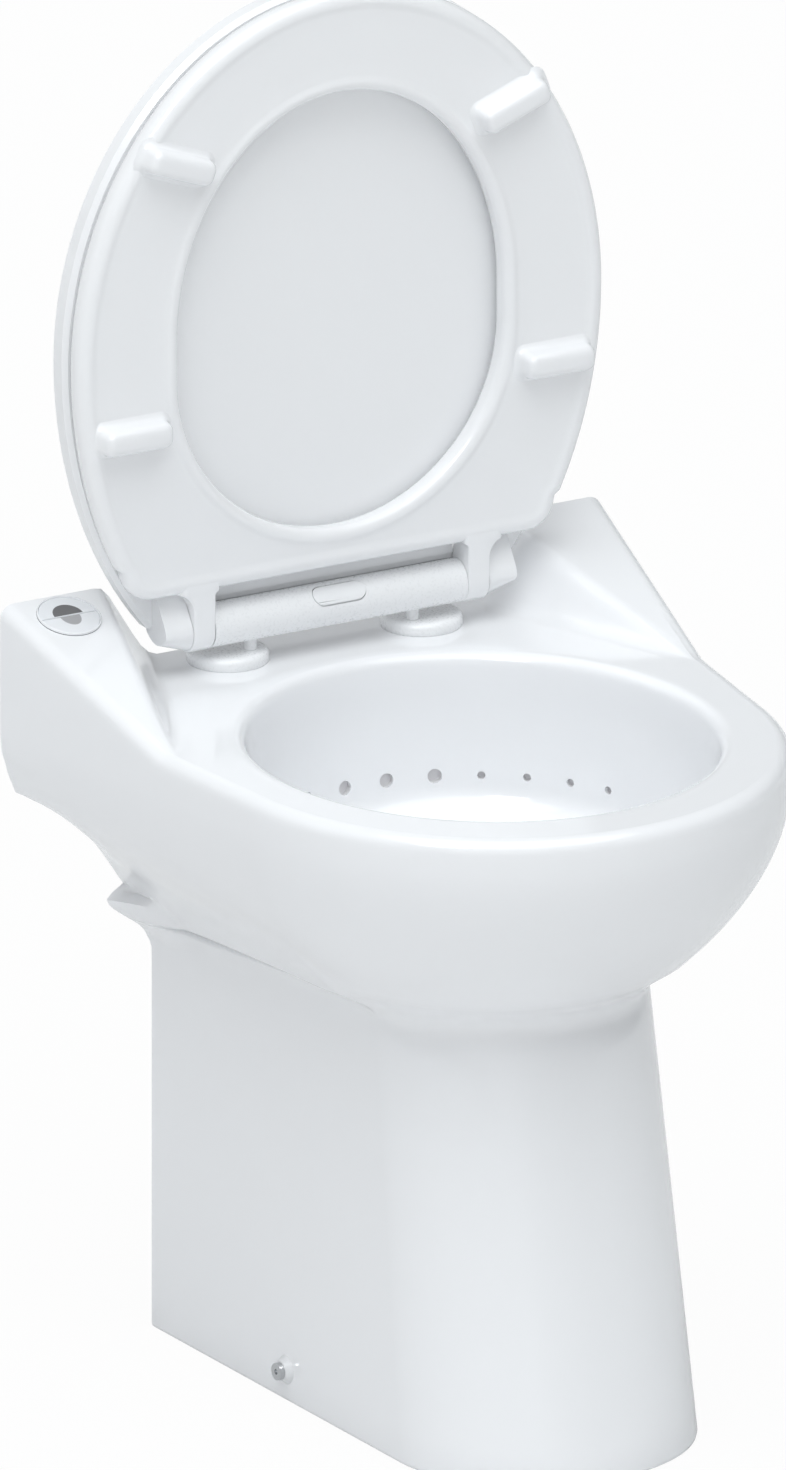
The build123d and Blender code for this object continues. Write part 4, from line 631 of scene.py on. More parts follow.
@dataclass
class GlazedShell:
    """The glazed ceramic pan as one skin: pedestal, flare, rim, shoulders, deck, bowl and outlet."""

    columns: int = 232
    back_columns: int = 72
    wall: float = 12.0
    bowl_wall: float = 10.0
    band_bottom: float = 414.0
    neck: float = 280.0
    rim_rounding: float = 9.0
    bowl_rounding: float = 8.0
    bowl_x: float = 143.3
    bowl_y: float = 154.6
    bowl_centre: float = -14.5
    sump_centre: float = -24.5
    sump_drop: float = 220.0
    shoulder_top: float = 484.0
    shoulder_slope: float = SLOPE
    shoulder_tip: float = 49.5
    crest_at_wall: float = 139.0
    foot_at_wall: float = 108.0
    lip_length: float = 45.0
    rim_half: float = 182.3
    nose_y: float = -25.5
    nose: float = 190.0
    rear_draw: float = 91.0
    half_draw: float = 82.5
    nose_draw: float = 95.1
    front_curve: float = 1.93
    foot_rear: float = 109.0
    foot_half: float = 99.0
    foot_nose_y: float = -84.5
    foot_nose: float = 94.0
    wall_gap: float = 8.0
    below_neck: float = 26.0
    above_neck: float = 30.0
    spread_x: float = 151.0
    spread_y: float = 163.0
    outlet: float = 36.0
    outlet_bend: float = 52.0
    outlet_level: float = 125.0
    outlet_end: float = 57.5
    jet_x: float = 138.7
    jet_y: float = 148.7
    jet_height: float = 357.0

    def flare(self, height: float) -> Outline:
        """The outline of bowl body and side band at one height."""
        down = max((self.band_bottom - height) / (self.band_bottom - self.neck), 0.0)
        back = max(curve_through(FLARE_ROWS, down)[0], 0.0)
        front = down**self.front_curve
        half = self.rim_half - front * self.half_draw
        return Outline(WALL_HALF - back * self.rear_draw, REAR, half, self.nose_y, self.nose - front * self.nose_draw)

    def pedestal(self, height: float) -> Outline:
        """The outline of the pedestal at one height, a gap off the wall up to the flare."""
        share = height / 300.0
        rear = REAR - self.wall_gap * (1 - smooth_share((height - 248.0) / 8.0))
        nose_y = self.foot_nose_y + share * 50.0
        return Outline(self.foot_rear, rear, self.foot_half - share * 7.0, nose_y, self.foot_nose - share * 10.0)

    def top(self, y: float) -> float:
        """Height of the pan's upper edge at one place along it."""
        ramp = self.shoulder_top - self.shoulder_slope * (REAR - y)
        return -soft_lower(-ramp, -RIM, 1.2)

    def crest(self, y: float) -> Pair:
        """Half widths of a shoulder's crest and foot at one place along the pan."""
        share = (REAR - y) / (REAR - self.shoulder_tip)
        far = self.edge_half(self.shoulder_tip) - 10.5
        crest = self.crest_at_wall + share * (far - self.crest_at_wall)
        return crest, self.foot_at_wall + share * (far - 3.0 - self.foot_at_wall)

    def edge_half(self, y: float) -> float:
        """Half the width of the rim at one place along its straight flanks."""
        outline = self.flare(RIM)
        touch_x, touch_y = outline.contact()
        share = (REAR - y) / (REAR - touch_y)
        return outline.rear_half + share * (touch_x - outline.rear_half)

    def deck_height(self, x: float, y: float) -> float:
        """Height of deck and shoulders at a place.

        Args:
            x: place across.
            y: place along.

        Returns:
            The height.
        """
        top = self.top(y)
        if y < self.shoulder_tip - 30.0:
            return RIM
        crest, foot = self.crest(y)
        rise = (top - RIM) / max(crest - foot, 0.5)
        turn = math.atan(rise)
        crest_blend = 8.0 * math.tan(turn / 2) * rise
        foot_blend = 14.0 * math.tan(turn / 2) * rise
        ramp = RIM + rise * (abs(x) - foot)
        height = soft_lower(top, ramp, max(crest_blend, 0.05))
        return -soft_lower(-height, -RIM, max(foot_blend, 0.05))

    def upright_rows(self) -> list[Pair]:
        """Rows of the outer wall: which stretch and the share along it."""
        rows = [(0.0, share) for share in (0.0, 0.004, 0.012)]
        rows += [(0.0, 0.012 + 0.988 * (index + 1) / 13) for index in range(13)]
        for stretch, count in ((1.0, 26), (2.0, 36)):
            rows += [(stretch, (index + 1) / count) for index in range(count)]
        return rows + [(3.0, 0.4), (3.0, 1.0)] + [(4.0, (index + 1) / 6) for index in range(6)]

    def neck_height(self, share: float) -> Pair:
        """Where flare and pedestal meet.

        Args:
            share: share of the way round.

        Returns:
            The height of that line and how softly they meet there.
        """
        away = min(share, 1 - share) / 0.22
        meet = 264.5 + 19.0 * min(away, 1.0)
        left = 3.0 + 20.0 * smooth_share((away - 0.85) / 0.5)
        right = 3.0 + 20.0 * smooth_share((away - 1.35) / 0.5)
        return meet, left if share < 0.5 else right

    def groove(self, height: float, share: float, meet: float) -> float:
        """The crease under the flare.

        Args:
            height: height of the point.
            share: share of the way round.
            meet: height at which flare and pedestal meet.

        Returns:
            How far the surface lies inside the smooth form, in percent of its half width.
        """
        away = min(share, 1 - share) / 0.22
        end = 1.02 if share < 0.5 else 1.4
        fade = 1 - smooth_share((away - end + 0.25) / 0.25)
        below = meet - height
        bulge = 0.9 * math.exp(-below / 9.0) if below > 0 else 0.0
        return fade * (1.7 * math.exp(-((below / 0.9) ** 2)) - bulge)

    def wall_point(self, row: Pair, share: float) -> Vector:
        """A point of the outer wall.

        Args:
            row: one of the upright rows.
            share: share of the way round.

        Returns:
            The point.
        """
        stretch, along = row
        meet, blend = self.neck_height(share)
        high = meet + self.above_neck
        if stretch == 0.0:
            height = along * (meet - self.below_neck)
            x, y = self.pedestal(height).at(share)
            if along < 0.01:
                shrink = 1.5 if along == 0.0 else 0.45
                scale = 1 - shrink / 100.0
                rear = REAR - self.wall_gap
                return place(x * scale, rear - (rear - y) * (1 - shrink / 200.0), height)
            return self.with_lip(x, y, height)
        if stretch == 1.0:
            swing = 2 * along - 1
            swing = swing * (0.22 + 0.78 * swing * swing)
            height = meet + swing * (self.above_neck if swing > 0 else self.below_neck)
            return self.neck_point(height, share, meet, blend)
        if stretch == 2.0:
            height = high + along * (self.band_bottom - high)
            x, y = self.flare_point(height, share)
            return place(x, y, height)
        x, y = self.flare(self.band_bottom).at(share)
        top = self.top(y)
        if stretch == 3.0:
            return place(x, y, self.band_bottom + along * (top - self.rim_rounding - self.band_bottom))
        turn = along * QUARTER
        inner_x, inner_y = self.inset(share, self.rim_rounding * (1 - math.cos(turn)))
        return place(inner_x, inner_y, top - self.rim_rounding * (1 - math.sin(turn)))

    def inset(self, share: float, inset: float) -> Pair:
        """A point of the rim's outline moved inwards.

        Args:
            share: share of the way round.
            inset: how far it moves.

        Returns:
            Its x and y.
        """
        outline = self.flare(self.band_bottom)
        x, y = outline.at(share)
        step = 0.002
        before = outline.at(max(share - step, 0.0))
        after = outline.at(min(share + step, 1.0))
        run = math.hypot(after[0] - before[0], after[1] - before[1])
        across = (before[1] - after[1]) / run
        along = (after[0] - before[0]) / run
        if min(share, 1 - share) < 0.1:
            return x + across * inset, y
        return x + across * inset, y + along * inset

    def flare_point(self, height: float, share: float) -> Pair:
        """A point of the flare, with the sharper turn that its lower edge takes near the wall.

        Args:
            height: height of the point.
            share: share of the way round.

        Returns:
            Its place across and along.
        """
        outline = self.flare(height)
        x, y = outline.at(share)
        fade = 1 - (REAR - y) / 70.0
        if fade > 0 and 255.0 < height < 400.0:
            ease = smooth_share((400.0 - height) / 20.0)
            edge = curve_through(WALL_EDGE_ROWS, height)[0] - outline.rear_half
            x = math.copysign(min(abs(x) + edge * fade * fade * ease, WALL_HALF - 0.01), x)
        return x, y

    def neck_point(self, height: float, share: float, meet: float, blend: float) -> Vector:
        """A point near the line where flare and pedestal meet.

        Args:
            height: height of the point.
            share: share of the way round.
            meet: height of that line.
            blend: how softly they meet.

        Returns:
            The point.
        """
        mix = smooth_share(0.5 + (height - meet) / (2 * blend))
        low_x, low_y = self.pedestal(height).at(share)
        high_x, high_y = self.flare_point(height, share)
        scale = 1 - self.groove(height, share, meet) / 100.0
        x = (low_x + mix * (high_x - low_x)) * scale
        return self.with_lip(x, low_y + mix * (high_y - low_y), height)

    def with_lip(self, x: float, y: float, height: float) -> Vector:
        """A point of the flank, moved out to the tongue that the flare makes at the wall.

        Args:
            x: place across.
            y: place along.
            height: height of the point.

        Returns:
            The point.
        """
        fade = 1 - (REAR - y) / self.lip_length
        if fade <= 0 or height < 243.0:
            return place(x, y, height)
        out = max(curve_through(LIP_ROWS, height)[0] - abs(x), 0.0) * fade
        return place(math.copysign(abs(x) + out, x), y, height)

    def boundary(self, index: int) -> Vector:
        """A point of the deck's outer edge.

        Args:
            index: column number, from the left-hand back corner round the nose and along the back.

        Returns:
            The point.
        """
        if index <= self.columns:
            return self.wall_point((4.0, 1.0), index / self.columns)
        share = (index - self.columns) / self.back_columns
        x = (WALL_HALF - self.rim_rounding) * (1 - 2 * share)
        return place(x, REAR, self.deck_height(x, REAR))

    def column_turn(self, start: Vector) -> float:
        """The angle round the bowl that a column takes from its start on the deck's edge."""
        return math.atan2((start.y / MM - self.bowl_centre) / self.spread_y, start.x / MM / self.spread_x)

    def deck_rows(self, index: int) -> list[Vector]:
        """Points from the deck's outer edge to the rounded lip of the bowl.

        Args:
            index: column number.

        Returns:
            The points in order.
        """
        start = self.boundary(index)
        start_x, start_y = start.x / MM, start.y / MM
        turn = self.column_turn(start)
        end_x = (self.bowl_x + self.bowl_rounding) * math.cos(turn)
        end_y = self.bowl_centre + (self.bowl_y + self.bowl_rounding) * math.sin(turn)
        span = math.hypot(end_x - start_x, end_y - start_y)

        def crossing(which: int) -> float:
            """Share at which the column crosses the crest or the foot of a shoulder."""
            low, high = 0.0, 1.0
            for _ in range(24):
                middle = (low + high) / 2
                x = start_x + middle * (end_x - start_x)
                y = start_y + middle * (end_y - start_y)
                if y > self.shoulder_tip and abs(x) > self.crest(y)[which]:
                    low = middle
                else:
                    high = middle
            return low * span

        crest = max(crossing(0), 1.5)
        foot = max(crossing(1), crest + 2.0)
        slope = foot - crest
        near = min(7.0, 0.45 * slope)
        wide = min(10.0, 0.45 * slope)
        flat = crest - 6.0 if crest >= 8.0 else crest * 0.85
        spots = [flat * (step + 1) / 9 for step in range(9)]
        spots += [crest - min(3.0, crest * 0.1), crest, crest + near * 0.5, crest + near]
        spots += [crest + near + (slope - near - wide) * share for share in (0.33, 0.66, 1.0)]
        spots += [foot - wide * 0.5, foot, foot + min(4.0, (span - foot) * 0.1), foot + min(9.0, (span - foot) * 0.2)]
        last = spots[-1]
        spots += [last + (span - last) * (step + 1) / 7 for step in range(7)]
        points = []
        for spot in spots:
            share = spot / span
            x = start_x + share * (end_x - start_x)
            y = start_y + share * (end_y - start_y)
            points.append(place(x, y, self.deck_height(x, y)))
        return points

    def bowl_rings(self, index: int) -> list[Vector]:
        """Points of the bowl from its rounded lip to the outlet.

        Args:
            index: column number.

        Returns:
            The points in order.
        """
        turn = self.column_turn(self.boundary(index))
        across, along = math.cos(turn), math.sin(turn)
        points = []
        for sine, cosine in quarter(6, 1):
            out = self.bowl_rounding * (1 - sine)
            y = self.bowl_centre + (self.bowl_y + out) * along
            points.append(place((self.bowl_x + out) * across, y, RIM - self.bowl_rounding * (1 - cosine)))
        for level in BOWL_LEVELS:
            width, length, shift = curve_through(BOWL_ROWS, level)
            centre = self.bowl_centre + shift * (self.sump_centre - self.bowl_centre)
            x = width * self.bowl_x * across
            points.append(place(x, centre + length * self.bowl_y * along, RIM - level * self.sump_drop))
        pipe, bend = self.outlet, self.outlet_bend
        for height in (214.0, 196.0):
            points.append(place(pipe * across, self.sump_centre + pipe * along, height))
        for sine, cosine in quarter(8):
            y = self.sump_centre + bend * (1 - cosine)
            z = self.outlet_level + bend - bend * sine
            points.append(place(pipe * across, y + pipe * (along * cosine), z + pipe * (along * sine)))
        points.append(place(pipe * across, self.outlet_end, self.outlet_level + pipe * along))
        return points

    def build(self) -> bpy.types.Object:
        """Make the whole skin, give it its wall and let it stand for the solid pan.

        Returns:
            The skin's object.
        """
        work = Work()
        rows = self.upright_rows()
        last = len(rows) - 1
        work.grid(self.columns, last, lambda across, up: self.wall_point(rows[round(up * last)], across))
        columns = []
        for index in range(self.columns + self.back_columns):
            columns.append([self.boundary(index)] + self.deck_rows(index) + self.bowl_rings(index))
        rings = [[column[level] for column in columns] for level in range(len(columns[0]))]
        work.stack(rings, start=False, end=False)
        work.tidy()
        self.face_out(work)
        self.bore(work)
        skin = work.piece("glazed_pan", GLAZE, Body.PAN)
        self.thicken(skin)
        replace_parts(skin, "ceramic_pan")
        self.wells()
        return skin

    def face_out(self, work: Work) -> None:
        """Turn the faces so that the deck looks up."""
        deck = max(work.mesh.faces, key=lambda face: abs(face.normal.z) * (face.calc_center_median().z > 0.43))
        if deck.normal.z < 0:
            bmesh.ops.reverse_faces(work.mesh, faces=work.mesh.faces[:])

    def bore(self, work: Work) -> None:
        """Open the hole for the flush button and the jets below the rim."""
        self.hole(work, BUTTON.frame(), radius=19.65, cuts=3, depth=14.0, reach=9.0)
        for jet, radius in self.jets():
            self.hole(work, jet, radius, cuts=4, depth=12.0, reach=6.0)

    def wells(self) -> None:
        """Close each jet with a shallow well whose grey is painted shade for the dark duct behind it."""
        work = Work()
        for matrix, radius in self.jets():
            outer, inner = radius + 0.9, radius + 0.05
            profile = [(0.0, 4.6), (outer, 4.6), (outer, 0.8), (inner, 0.8), (inner, 3.8), (0.0, 3.8)]
            work.join(Work().lathe(profile, 24, matrix))
        jets = work.piece("rinse_jets", JET_SHADE, Body.PAN)

    def jets(self) -> list[tuple[Matrix, float]]:
        """Find the jets.

        Returns:
            Their frames, which look into the wall of the bowl, and their radii.
        """
        found = []
        for shares, radius in (((0.105, 0.321), 4.5), ((0.506, 0.667, 0.8, 0.897), 2.5)):
            for share in shares:
                for side in (-1, 1):
                    x = side * share * self.jet_x
                    back = math.sqrt(1 - share**2) * self.jet_y
                    turn = math.atan2(back, x)
                    look = Vector((math.cos(turn), math.sin(turn), 0))
                    matrix = look.to_track_quat("Z", "Y").to_matrix().to_4x4()
                    matrix.translation = place(x, self.bowl_centre + back, self.jet_height)
                    found.append((matrix, radius))
        return found

    def hole(self, work: Work, matrix: Matrix, radius: float, cuts: int, depth: float, reach: float) -> None:
        """Cut a round well into the skin.

        Args:
            work: the skin.
            matrix: frame of the well, its Z along the axis.
            radius: radius of the well in millimetres.
            cuts: how many times the faces near it are divided.
            depth: how far from the skin a vertex may lie to be cut.
            reach: how far round the well faces are divided.
        """
        inverse = matrix.inverted()

        def away(point: Vector) -> Pair:
            """Distance from the axis and along it, in millimetres."""
            local = inverse @ point / MM
            return math.hypot(local.x, local.y), abs(local.z)

        near = [
            edge
            for edge in work.mesh.edges
            if all(away(vertex.co)[0] < radius + reach and away(vertex.co)[1] < depth for vertex in edge.verts)
        ]
        bmesh.ops.subdivide_edges(work.mesh, edges=near, cuts=cuts, use_grid_fill=True)
        inside = []
        for face in work.mesh.faces:
            across, along = away(face.calc_center_median())
            if across < radius and along < depth:
                inside.append(face)
        bmesh.ops.delete(work.mesh, geom=inside, context="FACES")
        for vertex in work.mesh.verts:
            across, along = away(vertex.co)
            close = 0.4 * radius < across < radius + 4.0 and vertex.co.y < (REAR - 0.5) * MM
            if vertex.is_boundary and close and along < depth:
                local = inverse @ vertex.co
                scale = radius / across
                vertex.co = matrix @ Vector((local.x * scale, local.y * scale, local.z))

    def thicken(self, skin: bpy.types.Object) -> None:
        """Give the skin the wall of the casting, thinner round the bowl."""
        group = skin.vertex_groups.new(name="wall")
        for vertex in skin.data.vertices:
            centre = Vector((0, self.bowl_centre * MM))
            flat = Vector((vertex.co.x, vertex.co.y)) - centre
            reach = math.hypot(flat.x / (self.bowl_x * MM), flat.y / (self.bowl_y * MM))
            inner = reach < 1.02 and vertex.co.z < 0.43 and abs(vertex.co.x) < 0.146
            group.add([vertex.index], self.bowl_wall / self.wall if inner else 1.0, "REPLACE")
        wall = skin.modifiers.new("wall", "SOLIDIFY")
        wall.thickness = self.wall * MM
        wall.offset = -1.0
        wall.vertex_group = "wall"


@dataclass
class FlushButton:
    """The round dual flush button in the left-hand shoulder: ring, two halves and their marks."""

    x: float = -175.0
    y: float = 193.5
    z: float = 477.32
    tilt: float = math.atan(SLOPE)
    bore: float = 32.0
    gap: float = 0.2
    plate: float = 19.2
    split: float = 0.5
    proud: float = 1.4
    ring: float = 40.5
    neck: float = 18.0
    collar: float = 19.6
    foot: float = -36.0

    def frame(self) -> Matrix:
        """Frame of the button: its Z is the axis."""
        return Matrix.Translation(place(self.x, self.y, self.z)) @ Matrix.Rotation(self.tilt, 4, "X")

    def build(self) -> None:
        """Make ring, halves and marks."""
        outer, bore, seat = self.ring / 2, self.bore / 2, self.plate + 0.15
        profile = [(bore, self.foot), (bore, -3.2), (seat, -3.2), (seat, 1.5), (self.plate + 0.35, 1.9)]
        profile += [(outer - 0.35, 1.9), (outer - 0.08, 1.6), (outer, 1.2), (outer, 0.45), (outer, 0.0)]
        profile += [(self.collar, 0.0), (self.collar, -5.2), (self.neck, -5.2), (self.neck, self.foot)]
        profile.append((bore, self.foot))
        ring = Work().lathe(profile, 72, self.frame()).tidy()
        made = ring.piece("flush_button_ring", FINISHES["button_ring"], Body.PAN)
        made.data.materials.append(PAINTED_SEAM_SHADOW.material())
        # The lowest band of the ring's outside is painted dark: painted shadow of the gap between ring and ceramic.
        inverse = self.frame().inverted()
        for face in made.data.polygons:
            local = inverse @ face.center / MM
            if math.hypot(local.x, local.y) > outer - 0.3 and local.z < 0.5:
                face.material_index = 1
        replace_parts(made, "flush_button_housing")
        self.half(1, "full_flush_button", "button_dark", Body.FULL_FLUSH, DARK_MARK)
        self.half(-1, "half_flush_button", "button_light", Body.HALF_FLUSH, LIGHT_MARK)

    def half(self, side: int, node: str, finish: str, body: Body, mark: "Mark") -> None:
        """Make one half of the button and its printed mark.

        Args:
            side: 1 for the half towards the wall, -1 for the other.
            node: the solid that it stands for.
            finish: name of its finish.
            body: what it moves with.
            mark: the printed mark.
        """
        rings = [self.half_ring(side, self.plate - self.bore / 2 + self.gap, height) for height in (-8.0, -0.4)]
        for inset, height in ((0.0, -0.4), (0.0, 0.7), (0.1, 1.1), (0.35, 1.32), (0.8, self.proud)):
            rings.append(self.half_ring(side, inset, height))
        work = Work().stack(rings)
        bmesh.ops.transform(work.mesh, matrix=self.frame(), verts=work.mesh.verts[:])
        piece = work.tidy().piece(node + "_cap", FINISHES[finish], body)
        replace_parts(piece, node)
        mark.build(self, side, body)

    def half_ring(self, side: int, inset: float, height: float) -> list[Vector]:
        """Points round one half.

        Args:
            side: 1 for the half towards the wall, -1 for the other.
            inset: how far they are moved inwards.
            height: their height.

        Returns:
            The points.
        """
        radius = self.plate - inset
        flat = self.split / 2 + min(inset, 0.8)
        turn = math.asin(flat / radius)
        round_part = arc((0.0, 0.0), (radius, side * radius), sweep(turn, math.pi - 2 * turn, 36))
        straight = [(-radius * math.cos(turn) * (1 - step / 6), side * flat) for step in range(1, 12)]
        return [place(x, y, height) for x, y in round_part + straight]


@dataclass(frozen=True)
class Mark:
    """The printed half round on one half of the flush button."""

    name: str
    tone: float
    half_width: float
    reach: float
    start: float

    def build(self, button: FlushButton, side: int, body: Body) -> None:
        """Lay the print on its half.

        Args:
            button: the button that carries it.
            side: 1 for the half towards the wall, -1 for the other.
            body: what it moves with.
        """
        outline = arc((0.0, self.start), (self.half_width, self.reach), sweep(0.0, math.pi, 32))
        outline += [(-self.half_width * (1 - step / 6), self.start) for step in range(1, 12)]
        low = [place(x, side * y, button.proud - 0.05) for x, y in outline]
        high = [place(x, side * y, button.proud + 0.03) for x, y in outline]
        work = Work().stack([low, high])
        bmesh.ops.transform(work.mesh, matrix=button.frame(), verts=work.mesh.verts[:])
        print_finish = even(self.name, (self.tone, self.tone, self.tone * 1.03), smooth=0.35, rough=0.45)
        piece = work.tidy().piece(self.name, print_finish, body)


BUTTON = FlushButton()
DARK_MARK = Mark("full_flush_mark", 0.16, 9.9, 10.4, 0.75)
LIGHT_MARK = Mark("half_flush_mark", 0.42, 6.7, 9.4, 0.75)


# Height over the seat's underside of a row of a pad, and how much smaller than the pad it is there.
PAD_ROWS = (
    (-1.6, -4.6), (-0.9, -3.4), (0.2, -1.9), (1.8, -0.8), (4.5, 0.0),
    (9.2, 0.6), (11.2, 1.5), (12.5, 3.0), (13.0, 4.6), (13.1, 6.2),
)


@dataclass
class Seat:
    """The seat ring standing upright, with a rounded bead round its opening, ears and moulded bumpers."""

    columns: int = 300
    front: float = 162.0
    back: float = 178.5
    half: float = 184.5
    widest: float = 645.0
    top_reach: float = 217.0
    flank_reach: float = 246.0
    heel: float = 489.0
    heel_rounding: float = 20.0
    pivot: float = 14.0
    opening: float = 114.3
    opening_top: float = 655.0
    opening_foot: float = 630.0
    middle: float = 640.0
    back_rounding: float = 6.0
    ear_outer: float = 103.75
    ear_inner: float = 88.75

    def outer(self) -> list[Vector]:
        """Find the outside of the ring.

        Returns:
            Points round it, as x and z.
        """
        corner_x, corner_z = self.corner()
        points = arc((0.0, self.widest), (self.half, self.top_reach), sweep(0.0, math.pi, 900))
        limit = math.asin((self.widest - corner_z) / self.flank_reach)
        lower = arc((0.0, self.widest), (-self.half, -self.flank_reach), sweep(0.0, limit, 400)[1:-1])
        near = Vector(lower[-1])
        start = math.atan2(near.y - corner_z, near.x + corner_x)
        if start < 0:
            start += TURN
        turns = sweep(start, 1.5 * math.pi - start, 59)
        lower += arc((-corner_x, corner_z), (self.heel_rounding, self.heel_rounding), turns)
        lower += [(-corner_x + corner_x * step / 100, self.heel) for step in range(1, 100)]
        right = [(-x, z) for x, z in reversed(lower)]
        return [Vector(spot) for spot in points + lower + [(0.0, self.heel)] + right]

    def corner(self) -> Pair:
        """Find the rounding between the right-hand flank and the heel.

        Returns:
            Its centre, as x and z.
        """
        z = self.heel + self.heel_rounding
        low, high = 0.0, self.half
        for _ in range(40):
            middle = (low + high) / 2
            gap = min(
                math.hypot(
                    self.half * math.cos(step / 500) - middle,
                    self.widest - self.flank_reach * math.sin(step / 500) - z,
                )
                for step in range(100, 500)
            )
            if gap > self.heel_rounding:
                low = middle
            else:
                high = middle
        return low, z

    def inner(self) -> list[Vector]:
        """Find the opening.

        Returns:
            Points round it, as x and z.
        """
        top, foot, length = self.opening_top, self.opening_foot, self.opening_top - self.opening_foot
        points = arc((0.0, top), (self.opening, 142.5), sweep(0.0, math.pi, 400)[:-1])
        points += [(-self.opening, top - length * step / 20) for step in range(20)]
        points += arc((0.0, foot), (self.opening, 115.4), sweep(math.pi, math.pi, 400)[:-1])
        points += [(self.opening, foot + length * step / 20) for step in range(20)]
        return [Vector(spot) for spot in points]

    def sampled(self, points: Sequence[Vector]) -> list[Vector]:
        """Take points of an outline at even angles round its middle.

        Args:
            points: the outline.

        Returns:
            One point for every column.
        """
        turns = [math.atan2(point.y - self.middle, point.x) % TURN for point in points]
        order = sorted(range(len(points)), key=lambda index: turns[index])
        found = []
        cursor = 0
        for column in range(self.columns):
            turn = TURN * column / self.columns
            while cursor < len(order) and turns[order[cursor]] < turn:
                cursor += 1
            after = order[cursor % len(order)]
            before = order[cursor - 1]
            gap = (turns[after] - turns[before]) % TURN
            share = ((turn - turns[before]) % TURN) / gap if gap > 1e-9 else 0.0
            found.append(points[before].lerp(points[after], share))
        return found

    def normals(self, points: Sequence[Vector]) -> list[Vector]:
        """Outward directions of a closed outline."""
        runs = [points[(index + 1) % len(points)] - points[index - 1] for index in range(len(points))]
        return [Vector((run.y, -run.x)).normalized() for run in runs]

    def section(self) -> list[Triple]:
        """The ring's section.

        Returns:
            Rows of the share of the way from outside to opening, the distance from that edge, and the depth.
        """
        front, back, bend = self.front, self.back, self.back_rounding
        rows = [(0.0, bend * (1 - sine), back - bend * (1 - cosine)) for sine, cosine in quarter(5)]
        rows.append((0.0, 0.0, front + 9.5))
        rows += [(0.0, 8.0 * (1 - cosine), front + 7.5 * (1 - sine)) for sine, cosine in quarter(8)]
        rows += [(0.0, 9.4, front + 0.35), (0.0, 11.0, front + 0.9), (0.0, 13.0, front + 1.1)]
        rows += [(share, 0.0, front + 1.1) for share in (0.25, 0.5, 0.75)]
        rows += [(1.0, -10.5, front + 1.1), (1.0, -9.0, front + 0.9), (1.0, -7.8, front + 0.4)]
        rows += [(1.0, -6.8, front + 0.1), (1.0, -5.8, front)]
        rows += [(1.0, -5.8 * (1 - sine), front + 5.2 * (1 - cosine)) for sine, cosine in quarter(8, 1)]
        rows += [(1.0, -bend * (1 - cosine), back - bend * (1 - sine)) for sine, cosine in quarter(5)]
        return rows + [(share, 0.0, back) for share in (0.75, 0.5, 0.25)]

    def build(self) -> None:
        """Make the ring with its ears, and the bumpers."""
        outer = self.sampled(self.outer())
        inner = self.sampled(self.inner())
        outer_out = self.normals(outer)
        inner_out = self.normals(inner)
        work = Work()
        rings = []
        for share, inset, depth in self.section():
            ring = []
            for index in range(self.columns):
                near = outer[index] - outer_out[index] * 13.0
                far = inner[index] + inner_out[index] * 10.5
                if share == 0.0:
                    spot = outer[index] - outer_out[index] * inset
                elif share == 1.0:
                    spot = inner[index] - inner_out[index] * inset
                else:
                    spot = near.lerp(far, share)
                ring.append(place(spot.x, depth, spot.y))
            rings.append(ring)
        work.stack(rings + [rings[0]], start=False, end=False)
        work.tidy()
        for side in (-1, 1):
            self.ear(work, side)
        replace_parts(work.piece("seat_shell", SEAT_PLASTIC, Body.SEAT), "seat_ring")
        self.bumpers()

    def ear(self, work: Work, side: int) -> None:
        """Add one hinge ear to the seat.

        Args:
            work: the seat's mesh.
            side: -1 or 1.
        """
        low = AXIS_Z - self.pivot
        heights = [low + self.pivot * (1 - cosine) for _, cosine in quarter(8, 1)] + [466.0, 471.0, 475.0]
        heights += [478.0 + step for step in range(13)] + [494.0, 497.5]
        rings = []
        for height in heights:
            reach = math.sqrt(max(self.pivot**2 - min(height - AXIS_Z, 0.0) ** 2, 4.0))
            share = max(height - AXIS_Z, 0.0) / 35.5
            front = (AXIS_Y - reach) * (1 - share) + (self.front + 0.3) * share
            back = (AXIS_Y + reach) * (1 - share) + (self.back - 0.4) * share
            outer = self.ear_outer + self.hollow(height, 12.0)
            inner = self.ear_inner - self.hollow(height, 3.0)
            rounding = 1.4 + 0.4 * self.hollow(height, 12.0)
            ring = []
            for x, y, turn, radius in (
                (outer, front, -90.0, rounding),
                (outer, back, 0.0, 1.4),
                (inner, back, 90.0, 1.4),
                (inner, front, 180.0, 1.4),
            ):
                middle = (x + (-radius if x == outer else radius), y + (radius if y == front else -radius))
                turns = [math.radians(angle) for angle in sweep(turn, 90.0, 5)]
                ring += [place(side * spot[0], spot[1], height) for spot in arc(middle, (radius, radius), turns)]
            rings.append(ring)
        work.join(Work().stack(rings))

    def hollow(self, height: float, radius: float) -> float:
        """How far the hollow rounding under the heel stands out of an ear's flank.

        Args:
            height: height above the floor.
            radius: radius of the rounding.

        Returns:
            The distance in millimetres.
        """
        rise = min(max(height - (self.heel - radius), 0.0), radius * 0.985)
        return radius - math.sqrt(radius**2 - rise**2)

    def bumpers(self) -> None:
        """Make the four moulded pads on the seat's underside."""
        work = Work()
        for side in (-1, 1):
            for x, z, turn in ((117.5, 771.5, 20.7), (148.0, 600.0, 0.0)):
                angle = math.radians(turn)
                across = Vector((side * math.cos(angle), 0, math.sin(angle)))
                up = Vector((-side * math.sin(angle), 0, math.cos(angle)))
                rings = []
                for depth, shrink in PAD_ROWS:
                    rings.append(self.pad_ring(place(side * x, self.front - depth, z), across, up, shrink))
                work.stack(rings)
        work.tidy()
        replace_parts(work.piece("seat_pads", FINISHES["bumper_plastic"], Body.SEAT, 1.2), "seat_bumpers")

